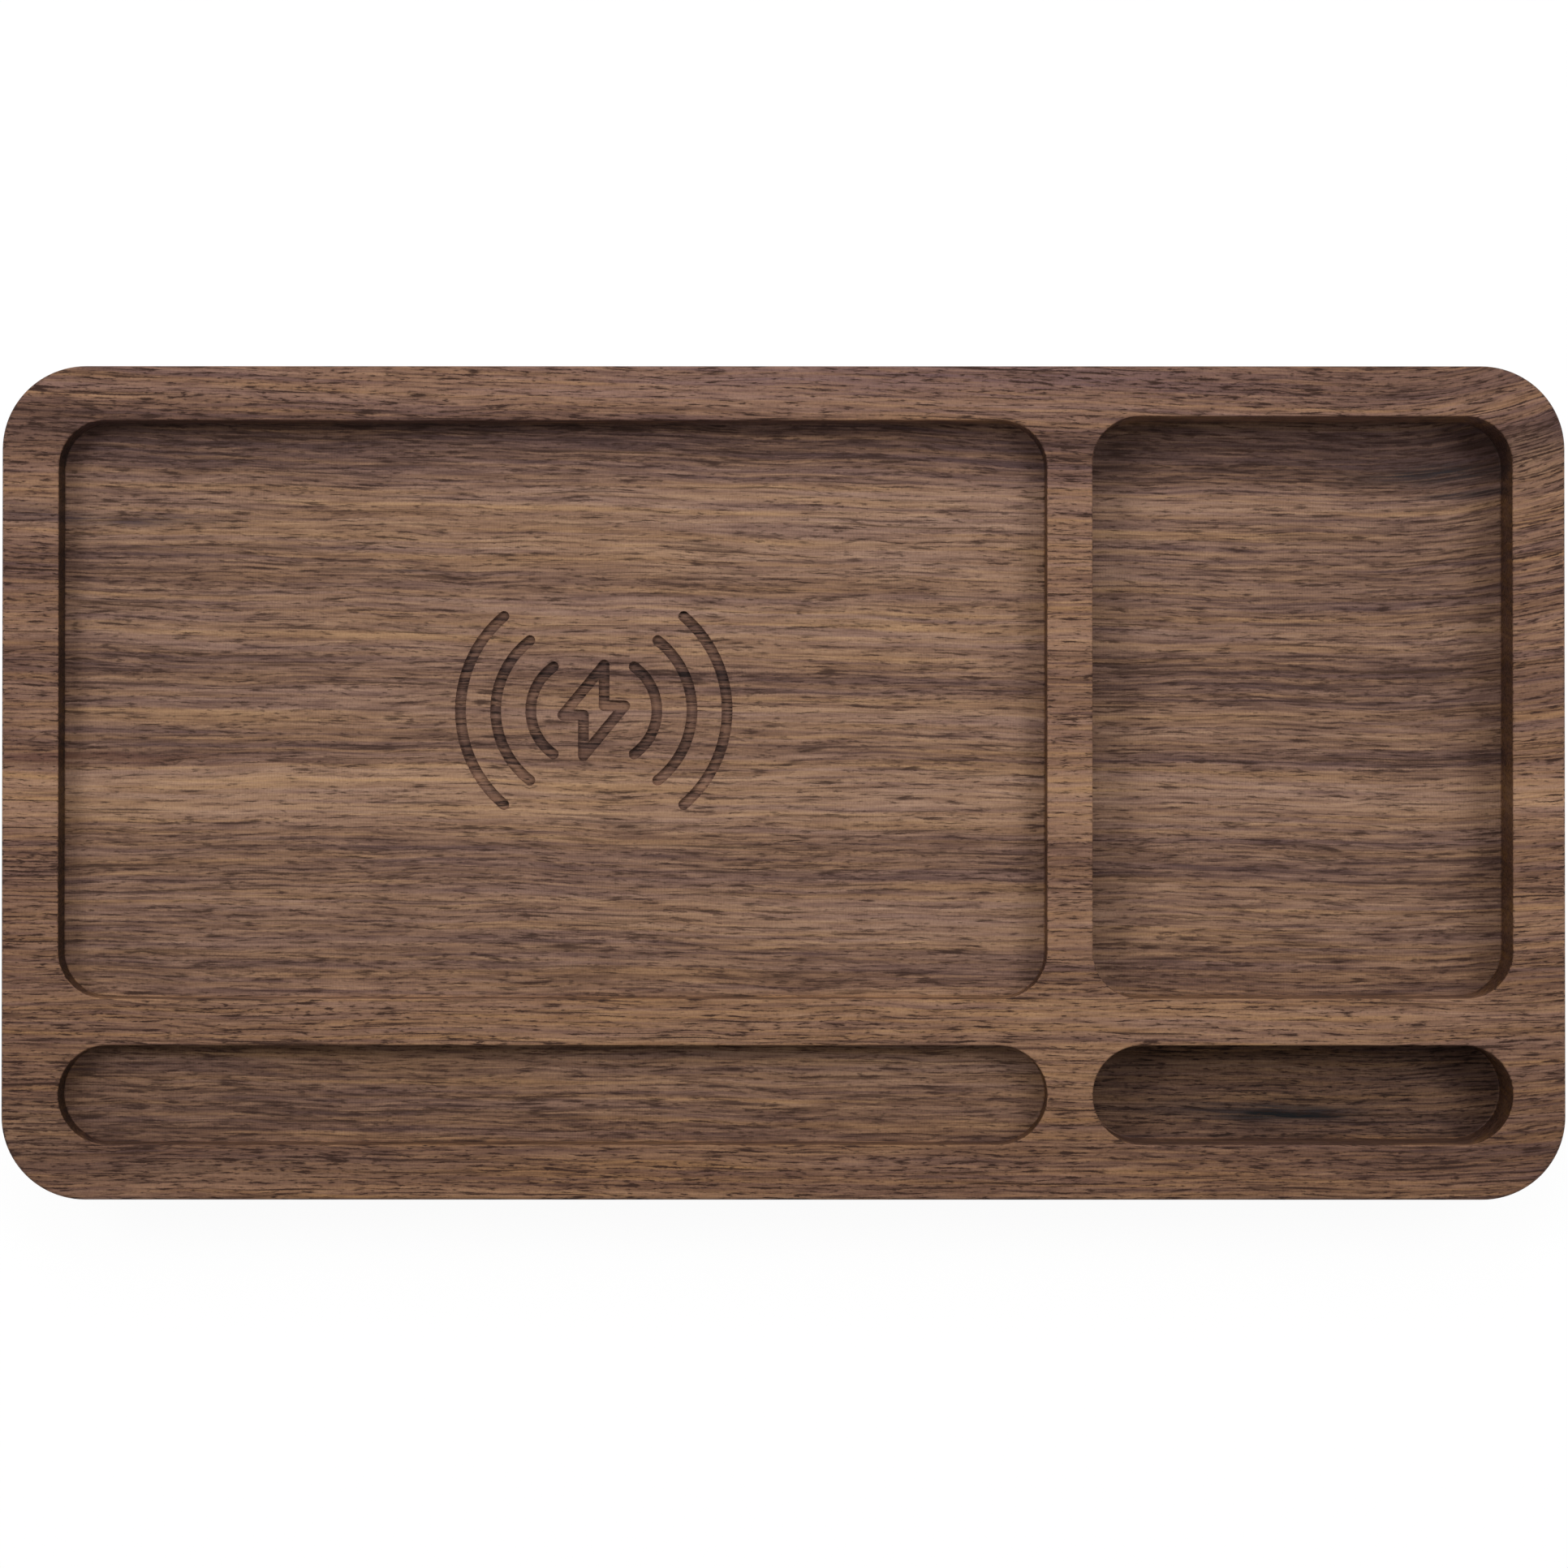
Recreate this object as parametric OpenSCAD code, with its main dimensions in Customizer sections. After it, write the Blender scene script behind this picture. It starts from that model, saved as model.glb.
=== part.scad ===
// Walnut desk tray with four pockets and a wireless charger built into its underside.
// Millimetres. +X runs to the right along the long side, +Y to the rear, where the power socket is,
// and +Z up. The origin lies under the middle of the tray, on the surface that the feet stand on.

/* [Tray] */
// Overall width, left to right
body_w = 300; // [260:1:360]
// Overall depth, front to rear
body_d = 160; // [150:1:200]
// Radius of the tray's four corners, seen from above
body_corner_r = 16; // [10:0.5:20]
// Bevel that eases the outer top and bottom edges
body_ease = 0.8; // [0.4:0.1:1.5]

/* [Pockets] */
// Wood left of the phone pocket
rim_left = 10.9; // [8:0.1:14]
// Wood right of the catch-all pocket
rim_right = 10.1; // [8:0.1:14]
// Wood behind the phone pocket
rim_rear = 10.5; // [8:0.1:14]
// Wood behind the catch-all pocket
catch_rim_rear = 9.7; // [8:0.1:14]
// Wood in front of the slots
rim_front = 10.6; // [8:0.1:14]
// Divider between the left and right pockets
side_divider = 8.7; // [6:0.1:12]
// Divider between the pockets and the slots in front of them
front_divider = 9; // [6:0.1:12]
// Width of the catch-all pocket and of the clip slot
right_pocket_w = 80.6; // [60:0.1:100]
// Front-to-rear width of the pen slot and the clip slot
slot_w = 19; // [14:0.5:24]
// Corner radius of the two large pockets
pocket_corner_r = 9; // [5:0.5:12]
// Depth of the phone pocket
phone_pocket_depth = 6; // [4.5:0.1:8]
// Depth of the pen slot
pen_slot_depth = 6; // [4.5:0.1:9]
// Depth of the catch-all pocket
catch_pocket_depth = 11; // [8:0.1:14]
// Depth of the clip slot
clip_slot_depth = 13; // [8:0.1:15]
// Bevel that eases the rims of the pockets
rim_ease = 0.3; // [0.2:0.1:0.8]

/* [Charging symbol] */
// How far the symbol and the coil sit to the right of the phone pocket's middle
symbol_offset = 7.55; // [0:0.05:12]
// Width of the engraved strokes
stroke_w = 2; // [1.2:0.1:2.4]
// Depth of the engraving
engrave_depth = 0.8; // [0.4:0.1:1.2]
// How far the arcs of either side are centred out from the bolt's middle
arc_offset = 1.9; // [0:0.1:3]
// Radius of the innermost arcs, at the middle of the stroke
first_arc_r = 10.3; // [9.6:0.1:13]
// Step in radius from one arc to the next
arc_step = 6.8; // [4:0.1:8]
// Angle from the middle of an innermost arc to either end
arc_half_angle = 55; // [40:1:60]
// How much smaller that angle is for each arc further out
arc_angle_step = 2.7; // [0:0.1:4]
// Distance of the bolt's tips above and below its middle
bolt_tip_y = 8.8; // [6:0.1:9.5]
// Distance of the bolt's shoulders above and below its middle
bolt_shoulder_y = 0.9; // [0.6:0.05:1.4]
// Distance of the bolt's outer points from its middle
bolt_point_x = 6; // [4:0.1:6.5]
// Distance of the bolt's upright strokes from its middle
bolt_stem_x = 2; // [1.5:0.1:2.5]

/* [Charging coil] */
// Turns in the coil
coil_turns = 10; // [6:1:12]
// Diameter of the coil's stranded wire
wire_d = 0.8; // [0.6:0.05:0.8]
// Step in radius from one turn to the next
coil_pitch = 1.25; // [1.25:0.05:1.5]
// Radius at which the first turn begins, at the middle of the wire
coil_inner_r = 10; // [8:0.5:13]
// Thickness of the tape that holds the coil under the wood
tape_t = 0.2; // [0.1:0.05:0.4]
// Thickness of the ferrite tile behind the coil
ferrite_t = 1.5; // [1.5:0.1:2.5]
// Ferrite beyond the coil, on each side
ferrite_margin = 2.5; // [1:0.1:5]
// Corner radius of the ferrite tile
ferrite_corner_r = 3; // [1:0.5:5]
// Width of the slot in the ferrite for the coil's inner lead and the sensor
ferrite_slot_w = 5.6; // [5.4:0.1:8]
// Side of the square foam block that presses the ferrite up
foam_w = 30; // [20:1:40]
// Diameter of the temperature sensor's bead
sensor_bead_d = 2; // [1.8:0.1:2.2]
// Diameter of the temperature sensor's wires
sensor_wire_d = 0.5; // [0.4:0.05:0.5]
// Distance between the two sensor wires, middle to middle
sensor_wire_pitch = 0.9; // [0.7:0.05:1]

/* [Circuit board] */
// Board size, left to right
board_w = 46; // [42:1:54]
// Board size, front to rear
board_l = 30; // [28:0.5:36]
// Board thickness
board_t = 1.2; // [1:0.1:1.6]
// Corner radius of the board
board_corner_r = 1.5; // [0.5:0.1:3]
// Distance of the screw holes from the board's edges
board_hole_inset = 3.2; // [3:0.1:4]
// Diameter of the screw holes in the board
board_hole_d = 2.3; // [2.2:0.05:2.6]
// Free space between the board and the ferrite tile
board_gap = 4.4; // [2:0.1:6]
// Distance of the solder points of the coil and the sensor from the board's front edge
solder_inset = 2; // [1.5:0.1:3]
// Height of the bosses that carry the board
boss_h = 2.5; // [2.2:0.1:3]
// Diameter of the bosses
boss_d = 4.6; // [4.2:0.1:5.5]
// Side of the square controller chip
chip_w = 5; // [4:0.5:6]
// Height of the controller chip
chip_h = 0.9; // [0.7:0.05:1.2]
// Side of the square switching transistors
transistor_w = 3.3; // [3:0.1:4]
// Height of the switching transistors
transistor_h = 1; // [0.7:0.05:1.2]
// Side of the square power inductor
inductor_w = 7; // [5:0.5:8]
// Height of the power inductor
inductor_h = 3; // [2:0.1:3]
// Length, width and height of the current sensing resistor
sense_resistor_size = [6.4, 3.2, 0.7]; // [0.5:0.1:7]
// Length, width and height of the resonance capacitors
resonance_cap_size = [3.2, 2.5, 1.8]; // [1:0.1:4]
// Length, width and height of the filter capacitors
filter_cap_size = [3.2, 1.6, 1.4]; // [1:0.1:3.4]
// Length, width and height of the small chip resistors
resistor_size = [1.6, 0.8, 0.45]; // [0.3:0.05:2]
// How far the metal ends of capacitors and resistors stand proud of their bodies
terminal_wrap = 0.04; // [0.02:0.01:0.06]
// Side of the square heat pad under the transistors
heat_pad_w = 12; // [8:0.5:14]

/* [Power socket] */
// Outside width of the socket's steel shell
shell_w = 8.94; // [8.8:0.01:9.2]
// Outside height of the socket's steel shell
shell_h = 3.16; // [3.1:0.01:3.3]
// Length of the socket's steel shell
shell_l = 7.35; // [6.8:0.05:8]
// Wall of the steel shell
shell_wall = 0.3; // [0.2:0.05:0.35]
// How far the shell stands out past the board's rear edge
shell_overhang = 1.2; // [1.05:0.05:1.6]
// Width of the socket's tongue
tongue_w = 6.69; // [6.4:0.01:7]
// Thickness of the socket's tongue
tongue_t = 0.7; // [0.6:0.05:0.9]
// Distance from the socket's mouth to the tip of the tongue
tongue_setback = 1.2; // [0.8:0.1:1.6]
// Thickness of the plastic block at the back of the socket
tongue_base_t = 1.4; // [1:0.1:2]
// Contacts on each face of the tongue
contact_count = 12; // [6:1:12]
// Distance between contacts, middle to middle
contact_pitch = 0.5; // [0.45:0.01:0.52]
// Width of a contact
contact_w = 0.28; // [0.2:0.01:0.32]
// Thickness of a contact
contact_t = 0.06; // [0.04:0.01:0.08]
// Distance from the tip of the tongue to a contact
contact_setback = 0.6; // [0.3:0.1:1]
// Width of the recess that takes the plug's grip
port_recess_w = 13.4; // [13:0.1:14]
// Height of the recess that takes the plug's grip
port_recess_h = 6.9; // [6.8:0.1:7]
// Depth of the recess, from the tray's rear face to the socket's mouth
port_recess_depth = 5; // [4.5:0.1:6]
// Wall of the plastic bezel around the recess
bezel_wall = 0.5; // [0.4:0.05:0.55]
// Thickness of the bezel's back wall
bezel_back_t = 1; // [0.8:0.05:1]
// How far the bezel's flange stands out around its body
bezel_flange = 0.8; // [0.5:0.1:1.2]
// Thickness of the bezel's flange
bezel_flange_t = 1.2; // [0.8:0.1:1.5]

/* [Charger bay] */
// Wood left between the phone pocket and the bay
bay_roof_t = 2.5; // [2.2:0.1:4]
// Free height above the socket's shell
bay_headroom = 2.64; // [2.62:0.02:4]
// Free space around the ferrite tile and the board
bay_clearance = 1.5; // [1:0.1:3]
// Corner radius of the bay
bay_corner_r = 4; // [2:0.5:6]
// Thickness of the base cover
cover_t = 2; // [1.6:0.1:3]
// Ledge that the cover rests on, at its front and sides
cover_ledge = 6.5; // [6:0.1:8]
// Ledge that the cover rests on at the rear
cover_rear_ledge = 2; // [1:0.1:2.2]
// Corner radius of the cover
cover_corner_r = 4.5; // [3:0.5:5]
// Gap between the cover and the wood around it
cover_gap = 0.3; // [0.1:0.05:0.5]

/* [Screws] */
// Distance of the cover's corner screws from its edges
cover_screw_inset = 3.6; // [3.4:0.1:4]
// Shank diameter of the cover screws
cover_screw_d = 2.6; // [2.2:0.1:2.8]
// Head diameter of the cover screws
cover_screw_head_d = 5; // [4.6:0.1:5.4]
// Length of the cover screws
cover_screw_l = 8; // [6:0.5:9]
// Shank diameter of the board screws
board_screw_d = 2; // [1.8:0.05:2.1]
// Head diameter of the board screws
board_screw_head_d = 3.8; // [3.4:0.1:4.2]
// Head height of the board screws
board_screw_head_h = 1.2; // [1:0.1:1.5]
// Length of the board screws under the head
board_screw_l = 4; // [3.6:0.1:4.4]
// Width of the cross recess's wings
cross_w = 0.6; // [0.4:0.05:0.8]
// Depth of the cross recess
cross_depth = 0.7; // [0.5:0.05:0.9]

/* [Feet] */
// Diameter of the rubber feet
foot_d = 14; // [10:0.5:18]
// Height of the rubber feet
foot_h = 1.8; // [1.5:0.1:3]
// Bevel around the feet's contact face
foot_bevel = 0.5; // [0.2:0.05:0.8]
// Thickness of the adhesive discs that hold the feet
foot_adhesive_t = 0.2; // [0.1:0.05:0.3]
// Depth of the recess that each foot sits in
foot_recess = 0.5; // [0.3:0.1:1]
// Distance of the feet's middles from the tray's edges
foot_inset = 16; // [13:0.5:24]

/* [Hidden] */
// Facets of a full circle, on large shapes and on thin ones
$fn = 96;
thin_fn = 32;
// How far a cutter runs past the face that it cuts
overrun = 1;
// Clearance on each side of what passes through or drops into a hole
fit_gap = 0.08;
// Clearance around a foot in its recess
foot_gap = 0.15;

// Heights, from the surface that the feet stand on
under_z = foot_h + foot_adhesive_t - foot_recess;
cover_top_z = under_z + cover_t;
board_z = cover_top_z + boss_h;
board_top_z = board_z + board_t;
port_z = board_top_z + shell_h / 2;
bay_roof_z = board_top_z + shell_h + bay_headroom;
phone_floor_z = bay_roof_z + bay_roof_t;
body_top_z = phone_floor_z + phone_pocket_depth;
body_h = body_top_z - under_z;

// Plan of the pockets: each is [left edge, front edge, width, depth from front to rear]
left_x = -body_w / 2 + rim_left;
right_x = body_w / 2 - rim_right - right_pocket_w;
left_pocket_w = right_x - side_divider - left_x;
slot_y = -body_d / 2 + rim_front;
pocket_y = slot_y + slot_w + front_divider;
phone_pocket_l = body_d / 2 - rim_rear - pocket_y;
catch_pocket_l = body_d / 2 - catch_rim_rear - pocket_y;
phone_pocket_plan = [left_x, pocket_y, left_pocket_w, phone_pocket_l];
catch_pocket_plan = [right_x, pocket_y, right_pocket_w, catch_pocket_l];
pen_slot_plan = [left_x, slot_y, left_pocket_w, slot_w];
clip_slot_plan = [right_x, slot_y, right_pocket_w, slot_w];

// Coil stack, hung under the bay's roof
coil_outer_r = coil_inner_r + coil_turns * coil_pitch;
coil_z = bay_roof_z - tape_t - wire_d / 2;
tape_r = coil_outer_r + wire_d;
ferrite_w = 2 * (coil_outer_r + wire_d / 2 + ferrite_margin);
ferrite_z = bay_roof_z - tape_t - wire_d - ferrite_t;
lead_z = ferrite_z + ferrite_t / 2;
lead_bend_r = 0.7 * wire_d;
inner_lead_x = ferrite_slot_w / 2 - 1.5 * wire_d;
outer_lead_x = -(ferrite_slot_w / 2 + 3 * wire_d);
sensor_x = -(ferrite_slot_w - sensor_bead_d) / 3;
sensor_z = bay_roof_z - tape_t - sensor_bead_d / 2;
sensor_wire_z = sensor_z - sensor_wire_d / 2;

// Places from front to rear, worked forward from the socket's mouth in the rear face
mouth_y = body_d / 2 - port_recess_depth;
bay_rear_y = mouth_y - bezel_back_t;
board_rear_y = mouth_y - shell_overhang;
board_y = board_rear_y - board_l / 2;
board_front_y = board_rear_y - board_l;
solder_y = board_front_y + solder_inset;
symbol_x = left_x + left_pocket_w / 2 + symbol_offset;
symbol_y = board_front_y - board_gap - ferrite_w / 2;

// Bay: a square around the ferrite tile and a rectangle around the board
coil_bay_w = ferrite_w + 2 * bay_clearance;
board_bay_w = board_w + 2 * bay_clearance;
bay_front_y = symbol_y - coil_bay_w / 2;
cover_w = max(coil_bay_w, board_bay_w) + 2 * cover_ledge;
cover_front_y = bay_front_y - cover_ledge;
cover_rear_y = bay_rear_y + cover_rear_ledge;
cover_y = (cover_front_y + cover_rear_y) / 2;
cover_l = cover_rear_y - cover_front_y;

// Screws
cover_screw_x = cover_w / 2 - cover_screw_inset;
cover_screw_ys = [
    cover_front_y + cover_screw_inset,
    cover_y,
    cover_rear_y - cover_screw_inset
];
cover_screw_head_h = (cover_screw_head_d - cover_screw_d) / 2;
board_hole_x = board_w / 2 - board_hole_inset;
board_hole_y = board_l / 2 - board_hole_inset;

// Board components: the middle of each, as shares of the board's width and length
chip_share = [-0.04, -0.12];
inductor_share = [-0.29, 0.02];
sense_resistor_share = [-0.22, -0.31];
transistor_shares = [[0.14, 0.03], [0.25, 0.03], [0.14, -0.13], [0.25, -0.13]];
resonance_cap_shares = [[0.11, -0.32], [0.2, -0.32], [0.29, -0.32], [0.38, -0.16]];
filter_cap_shares = [[-0.19, 0.36], [-0.3, 0.36], [0.34, 0.22]];
resistor_shares = [
    [-0.05, 0.06], [0.02, 0.06], [-0.12, -0.02], [-0.12, 0.06],
    [-0.04, -0.3], [0.03, -0.3], [-0.42, -0.1], [-0.42, 0.02]
];

// Feet: the sides that each one lies towards, in X and in Y
foot_sides = [[-1, -1], [1, -1], [-1, 1], [1, 1]];
foot_x = body_w / 2 - foot_inset;
foot_y = body_d / 2 - foot_inset;

// Shapes that repeat

// Rectangle with round corners, centred
module round_rect(w, l, r) {
    square([w - 2 * r, l], center = true);
    square([w, l - 2 * r], center = true);
    for (x = [-1, 1], y = [-1, 1])
        translate([x * (w / 2 - r), y * (l / 2 - r)])
            circle(r);
}

// Shape with straight sides and half-round ends, centred, longer along X
module stadium(w, h) {
    square([w - h, h], center = true);
    for (x = [-1, 1])
        translate([x * (w - h) / 2, 0])
            circle(h / 2);
}

// Bar along X, as high as its bevel, whose two long sides lean in by the bevel
module bevelled_bar(length, width, bevel) {
    rotate([90, 0, 90])
        translate([0, 0, -length / 2])
            linear_extrude(length)
                polygon([
                    [-width / 2, 0],
                    [width / 2, 0],
                    [width / 2 - bevel, bevel],
                    [-width / 2 + bevel, bevel]
                ]);
}

// Round-cornered layer, as high as its bevel, that draws in by the bevel on all sides
module bevel_layer(w, l, r, bevel) {
    bevelled_bar(w - 2 * r, l, bevel);
    rotate([0, 0, 90])
        bevelled_bar(l - 2 * r, w, bevel);
    for (x = [-1, 1], y = [-1, 1])
        translate([x * (w / 2 - r), y * (l / 2 - r), 0])
            cylinder(h = bevel, r1 = r, r2 = r - bevel);
}

// Round-cornered slab with a bevel around its top and its bottom
module eased_slab(w, l, h, r, bevel) {
    translate([0, 0, bevel])
        linear_extrude(h - 2 * bevel)
            round_rect(w, l, r);
    translate([0, 0, h - bevel])
        bevel_layer(w, l, r, bevel);
    translate([0, 0, bevel])
        mirror([0, 0, 1])
            bevel_layer(w, l, r, bevel);
}

// Cutter for a round-cornered pocket: its mouth is at height zero and flares by the rim's bevel
module pocket_cutter(plan, depth, r) {
    flare = rim_ease + overrun;
    translate([plan[0] + plan[2] / 2, plan[1] + plan[3] / 2, 0]) {
        translate([0, 0, -depth])
            linear_extrude(depth + overrun)
                round_rect(plan[2], plan[3], r);
        translate([0, 0, overrun])
            mirror([0, 0, 1])
                bevel_layer(plan[2] + 2 * flare, plan[3] + 2 * flare, r + flare, flare);
    }
}

// The same for a slot with half-round ends
module slot_cutter(plan, depth) {
    flare = rim_ease + overrun;
    straight = plan[2] - plan[3];
    translate([plan[0] + plan[2] / 2, plan[1] + plan[3] / 2, 0]) {
        translate([0, 0, -depth])
            linear_extrude(depth + overrun)
                stadium(plan[2], plan[3]);
        translate([0, 0, overrun])
            mirror([0, 0, 1]) {
                bevelled_bar(straight, plan[3] + 2 * flare, flare);
                for (x = [-1, 1])
                    translate([x * straight / 2, 0, 0])
                        cylinder(h = flare, r1 = plan[3] / 2 + flare, r2 = plan[3] / 2);
            }
    }
}

// Stadium at the socket's height, drawn out towards the front from a place in Y
module port_stadium(w, h, y, length) {
    translate([symbol_x, y, port_z])
        rotate([90, 0, 0])
            linear_extrude(length)
                stadium(w, h);
}

// Wire through a list of points, with a round bend wherever it turns by a right angle
module bent_wire(points, d, bend_r) {
    last = len(points) - 1;
    for (i = [1 : last]) {
        run = points[i] - points[i - 1];
        along = run / norm(run);
        from = i == 1 ? 0 : bend_r;
        to = norm(run) - (i == last ? 0 : bend_r);
        translate(points[i - 1] + from * along)
            rotate([0, acos(along[2]), atan2(along[1], along[0])])
                cylinder(h = to - from, d = d, $fn = thin_fn);
    }
    for (i = [1 : last - 1]) {
        into = (points[i] - points[i - 1]) / norm(points[i] - points[i - 1]);
        out = (points[i + 1] - points[i]) / norm(points[i + 1] - points[i]);
        across = cross(into, out);
        middle = points[i] + bend_r * (out - into);
        multmatrix([
            [-out[0], into[0], across[0], middle[0]],
            [-out[1], into[1], across[1], middle[1]],
            [-out[2], into[2], across[2], middle[2]],
            [0, 0, 0, 1]
        ])
            rotate_extrude(angle = 90)
                translate([bend_r, 0])
                    circle(d = d, $fn = thin_fn);
    }
}

// Cutter for the cross recess of a screw, centred on the face of its head
module cross_cutter(span) {
    for (turn = [0, 90])
        rotate([0, 0, turn])
            cube([span, cross_w, 2 * cross_depth], center = true);
}

// Block that stands on height zero, centred in plan
module block(size) {
    translate([-size[0] / 2, -size[1] / 2, 0])
        cube(size);
}

// Block held between two metal ends along X, which wrap it and stand on the board
module capped_block(size, body_colour) {
    cap_l = size[0] / 6;
    color(body_colour)
        translate([0, 0, terminal_wrap])
            block([size[0] - cap_l, size[1] - 2 * terminal_wrap, size[2] - 2 * terminal_wrap]);
    color("silver")
        for (x = [-1, 1])
            translate([x * (size[0] - cap_l) / 2, 0, 0])
                block([cap_l, size[1], size[2]]);
}

// Puts a component on the board, at shares of the board's width and length from its middle
module on_board(share) {
    translate([symbol_x + share[0] * board_w, board_y + share[1] * board_l, board_top_z])
        children();
}

module at_board_holes(z) {
    for (x = [-1, 1], y = [-1, 1])
        translate([symbol_x + x * board_hole_x, board_y + y * board_hole_y, z])
            children();
}

module at_cover_screws() {
    for (x = [-1, 1], y = cover_screw_ys)
        translate([symbol_x + x * cover_screw_x, y, under_z])
            children();
}

// Wooden tray

// One straight engraved stroke, with a round end at its start
module straight_stroke(start, stop) {
    run = stop - start;
    translate([start[0], start[1], 0]) {
        cylinder(h = engrave_depth + overrun, d = stroke_w);
        rotate([0, 0, atan2(run[1], run[0])])
            translate([0, -stroke_w / 2, 0])
                cube([norm(run), stroke_w, engrave_depth + overrun]);
    }
}

// Outline of the bolt, as one closed stroke that looks the same when turned upside down
module bolt_strokes() {
    half = [
        [bolt_stem_x, bolt_tip_y],
        [bolt_stem_x, bolt_shoulder_y],
        [bolt_point_x, bolt_shoulder_y]
    ];
    corners = concat(half, -half);
    for (i = [0 : len(corners) - 1])
        straight_stroke(corners[i], corners[(i + 1) % len(corners)]);
}

// One engraved arc to the right of the bolt, with round ends
module arc_stroke(r, half_angle) {
    translate([arc_offset, 0, 0]) {
        rotate([0, 0, -half_angle])
            rotate_extrude(angle = 2 * half_angle)
                translate([r - stroke_w / 2, 0])
                    square([stroke_w, engrave_depth + overrun]);
        for (side = [-1, 1])
            rotate([0, 0, side * half_angle])
                translate([r, 0, 0])
                    cylinder(h = engrave_depth + overrun, d = stroke_w);
    }
}

// Charging symbol: the bolt with three arcs on either side
module charging_symbol() {
    translate([symbol_x, symbol_y, phone_floor_z - engrave_depth]) {
        bolt_strokes();
        for (turn = [0, 180], step = [0 : 2])
            rotate([0, 0, turn])
                arc_stroke(
                    first_arc_r + step * arc_step,
                    arc_half_angle - step * arc_angle_step
                );
    }
}

// Bay, rebate and screw holes that are cut into the underside
module charger_bay() {
    bay_h = bay_roof_z - under_z;
    translate([symbol_x, symbol_y, under_z - overrun])
        linear_extrude(bay_h + overrun)
            round_rect(coil_bay_w, coil_bay_w, bay_corner_r);
    translate([symbol_x, (symbol_y + bay_rear_y) / 2, under_z - overrun])
        linear_extrude(bay_h + overrun)
            round_rect(board_bay_w, bay_rear_y - symbol_y, bay_corner_r);
    translate([symbol_x, cover_y, under_z - overrun])
        linear_extrude(cover_t + overrun)
            round_rect(cover_w + 2 * cover_gap, cover_l + 2 * cover_gap, cover_corner_r + cover_gap);
    at_cover_screws()
        cylinder(h = cover_screw_l + fit_gap, d = cover_screw_d + 2 * fit_gap, $fn = thin_fn);
}

// Stepped hole in the rear face for the bezel
module port_hole() {
    hole_w = port_recess_w + 2 * (bezel_wall + fit_gap);
    hole_h = port_recess_h + 2 * (bezel_wall + fit_gap);
    rear_y = body_d / 2 + overrun;
    port_stadium(hole_w, hole_h, rear_y, rear_y - bay_rear_y + overrun);
    port_stadium(
        hole_w + 2 * bezel_flange,
        hole_h + 2 * bezel_flange,
        rear_y,
        bezel_flange_t + overrun
    );
}

module foot_recesses() {
    for (side = foot_sides)
        translate([side[0] * foot_x, side[1] * foot_y, under_z - overrun])
            cylinder(h = foot_recess + overrun, d = foot_d + 2 * foot_gap);
}

module tray_body() {
    color([0.45, 0.33, 0.25])
        difference() {
            translate([0, 0, under_z])
                eased_slab(body_w, body_d, body_h, body_corner_r, body_ease);
            translate([0, 0, body_top_z]) {
                pocket_cutter(phone_pocket_plan, phone_pocket_depth, pocket_corner_r);
                pocket_cutter(catch_pocket_plan, catch_pocket_depth, pocket_corner_r);
                slot_cutter(pen_slot_plan, pen_slot_depth);
                slot_cutter(clip_slot_plan, clip_slot_depth);
            }
            charging_symbol();
            charger_bay();
            port_hole();
            foot_recesses();
        }
}

// Cover and screws

module base_cover() {
    color([0.12, 0.12, 0.13])
        difference() {
            union() {
                translate([symbol_x, cover_y, under_z])
                    linear_extrude(cover_t)
                        round_rect(cover_w, cover_l, cover_corner_r);
                at_board_holes(under_z)
                    cylinder(h = cover_t + boss_h, d = boss_d, $fn = thin_fn);
            }
            at_cover_screws()
                translate([0, 0, -overrun]) {
                    cylinder(h = cover_t + 2 * overrun, d = cover_screw_d + 4 * fit_gap, $fn = thin_fn);
                    cylinder(
                        h = cover_screw_head_h + overrun,
                        d1 = cover_screw_head_d + 2 * overrun,
                        d2 = cover_screw_d
                    );
                }
            at_board_holes(board_top_z - board_screw_l - fit_gap)
                cylinder(h = board_screw_l, d = board_screw_d + 2 * fit_gap, $fn = thin_fn);
        }
}

// Countersunk wood screw, with its head down
module cover_screw() {
    tip_h = cover_screw_d / 2;
    difference() {
        union() {
            cylinder(h = cover_screw_head_h, d1 = cover_screw_head_d, d2 = cover_screw_d);
            cylinder(h = cover_screw_l - tip_h, d = cover_screw_d, $fn = thin_fn);
            translate([0, 0, cover_screw_l - tip_h])
                cylinder(h = tip_h, d1 = cover_screw_d, d2 = cover_screw_d / 4, $fn = thin_fn);
        }
        cross_cutter(cover_screw_head_d / 2);
    }
}

module cover_screws() {
    color("silver")
        at_cover_screws()
            cover_screw();
}

module board_screws() {
    color("silver")
        at_board_holes(board_top_z)
            difference() {
                union() {
                    cylinder(h = board_screw_head_h, d = board_screw_head_d, $fn = thin_fn);
                    translate([0, 0, -board_screw_l])
                        cylinder(h = board_screw_l, d = board_screw_d, $fn = thin_fn);
                }
                translate([0, 0, board_screw_head_h])
                    cross_cutter(board_screw_head_d / 2);
            }
}

// Feet

module foot(side) {
    color([0.1, 0.1, 0.1])
        translate([side[0] * foot_x, side[1] * foot_y, 0])
            rotate_extrude()
                polygon([
                    [0, 0],
                    [foot_d / 2 - foot_bevel, 0],
                    [foot_d / 2, foot_bevel],
                    [foot_d / 2, foot_h],
                    [0, foot_h]
                ]);
}

module foot_adhesive(side) {
    color([0.85, 0.85, 0.8])
        translate([side[0] * foot_x, side[1] * foot_y, foot_h])
            cylinder(h = foot_adhesive_t, d = foot_d);
}

// Coil, ferrite, foam and sensor

module coil_tape() {
    color([0.8, 0.65, 0.3])
        translate([symbol_x, symbol_y, bay_roof_z - tape_t])
            cylinder(h = tape_t, r = tape_r);
}

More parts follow.
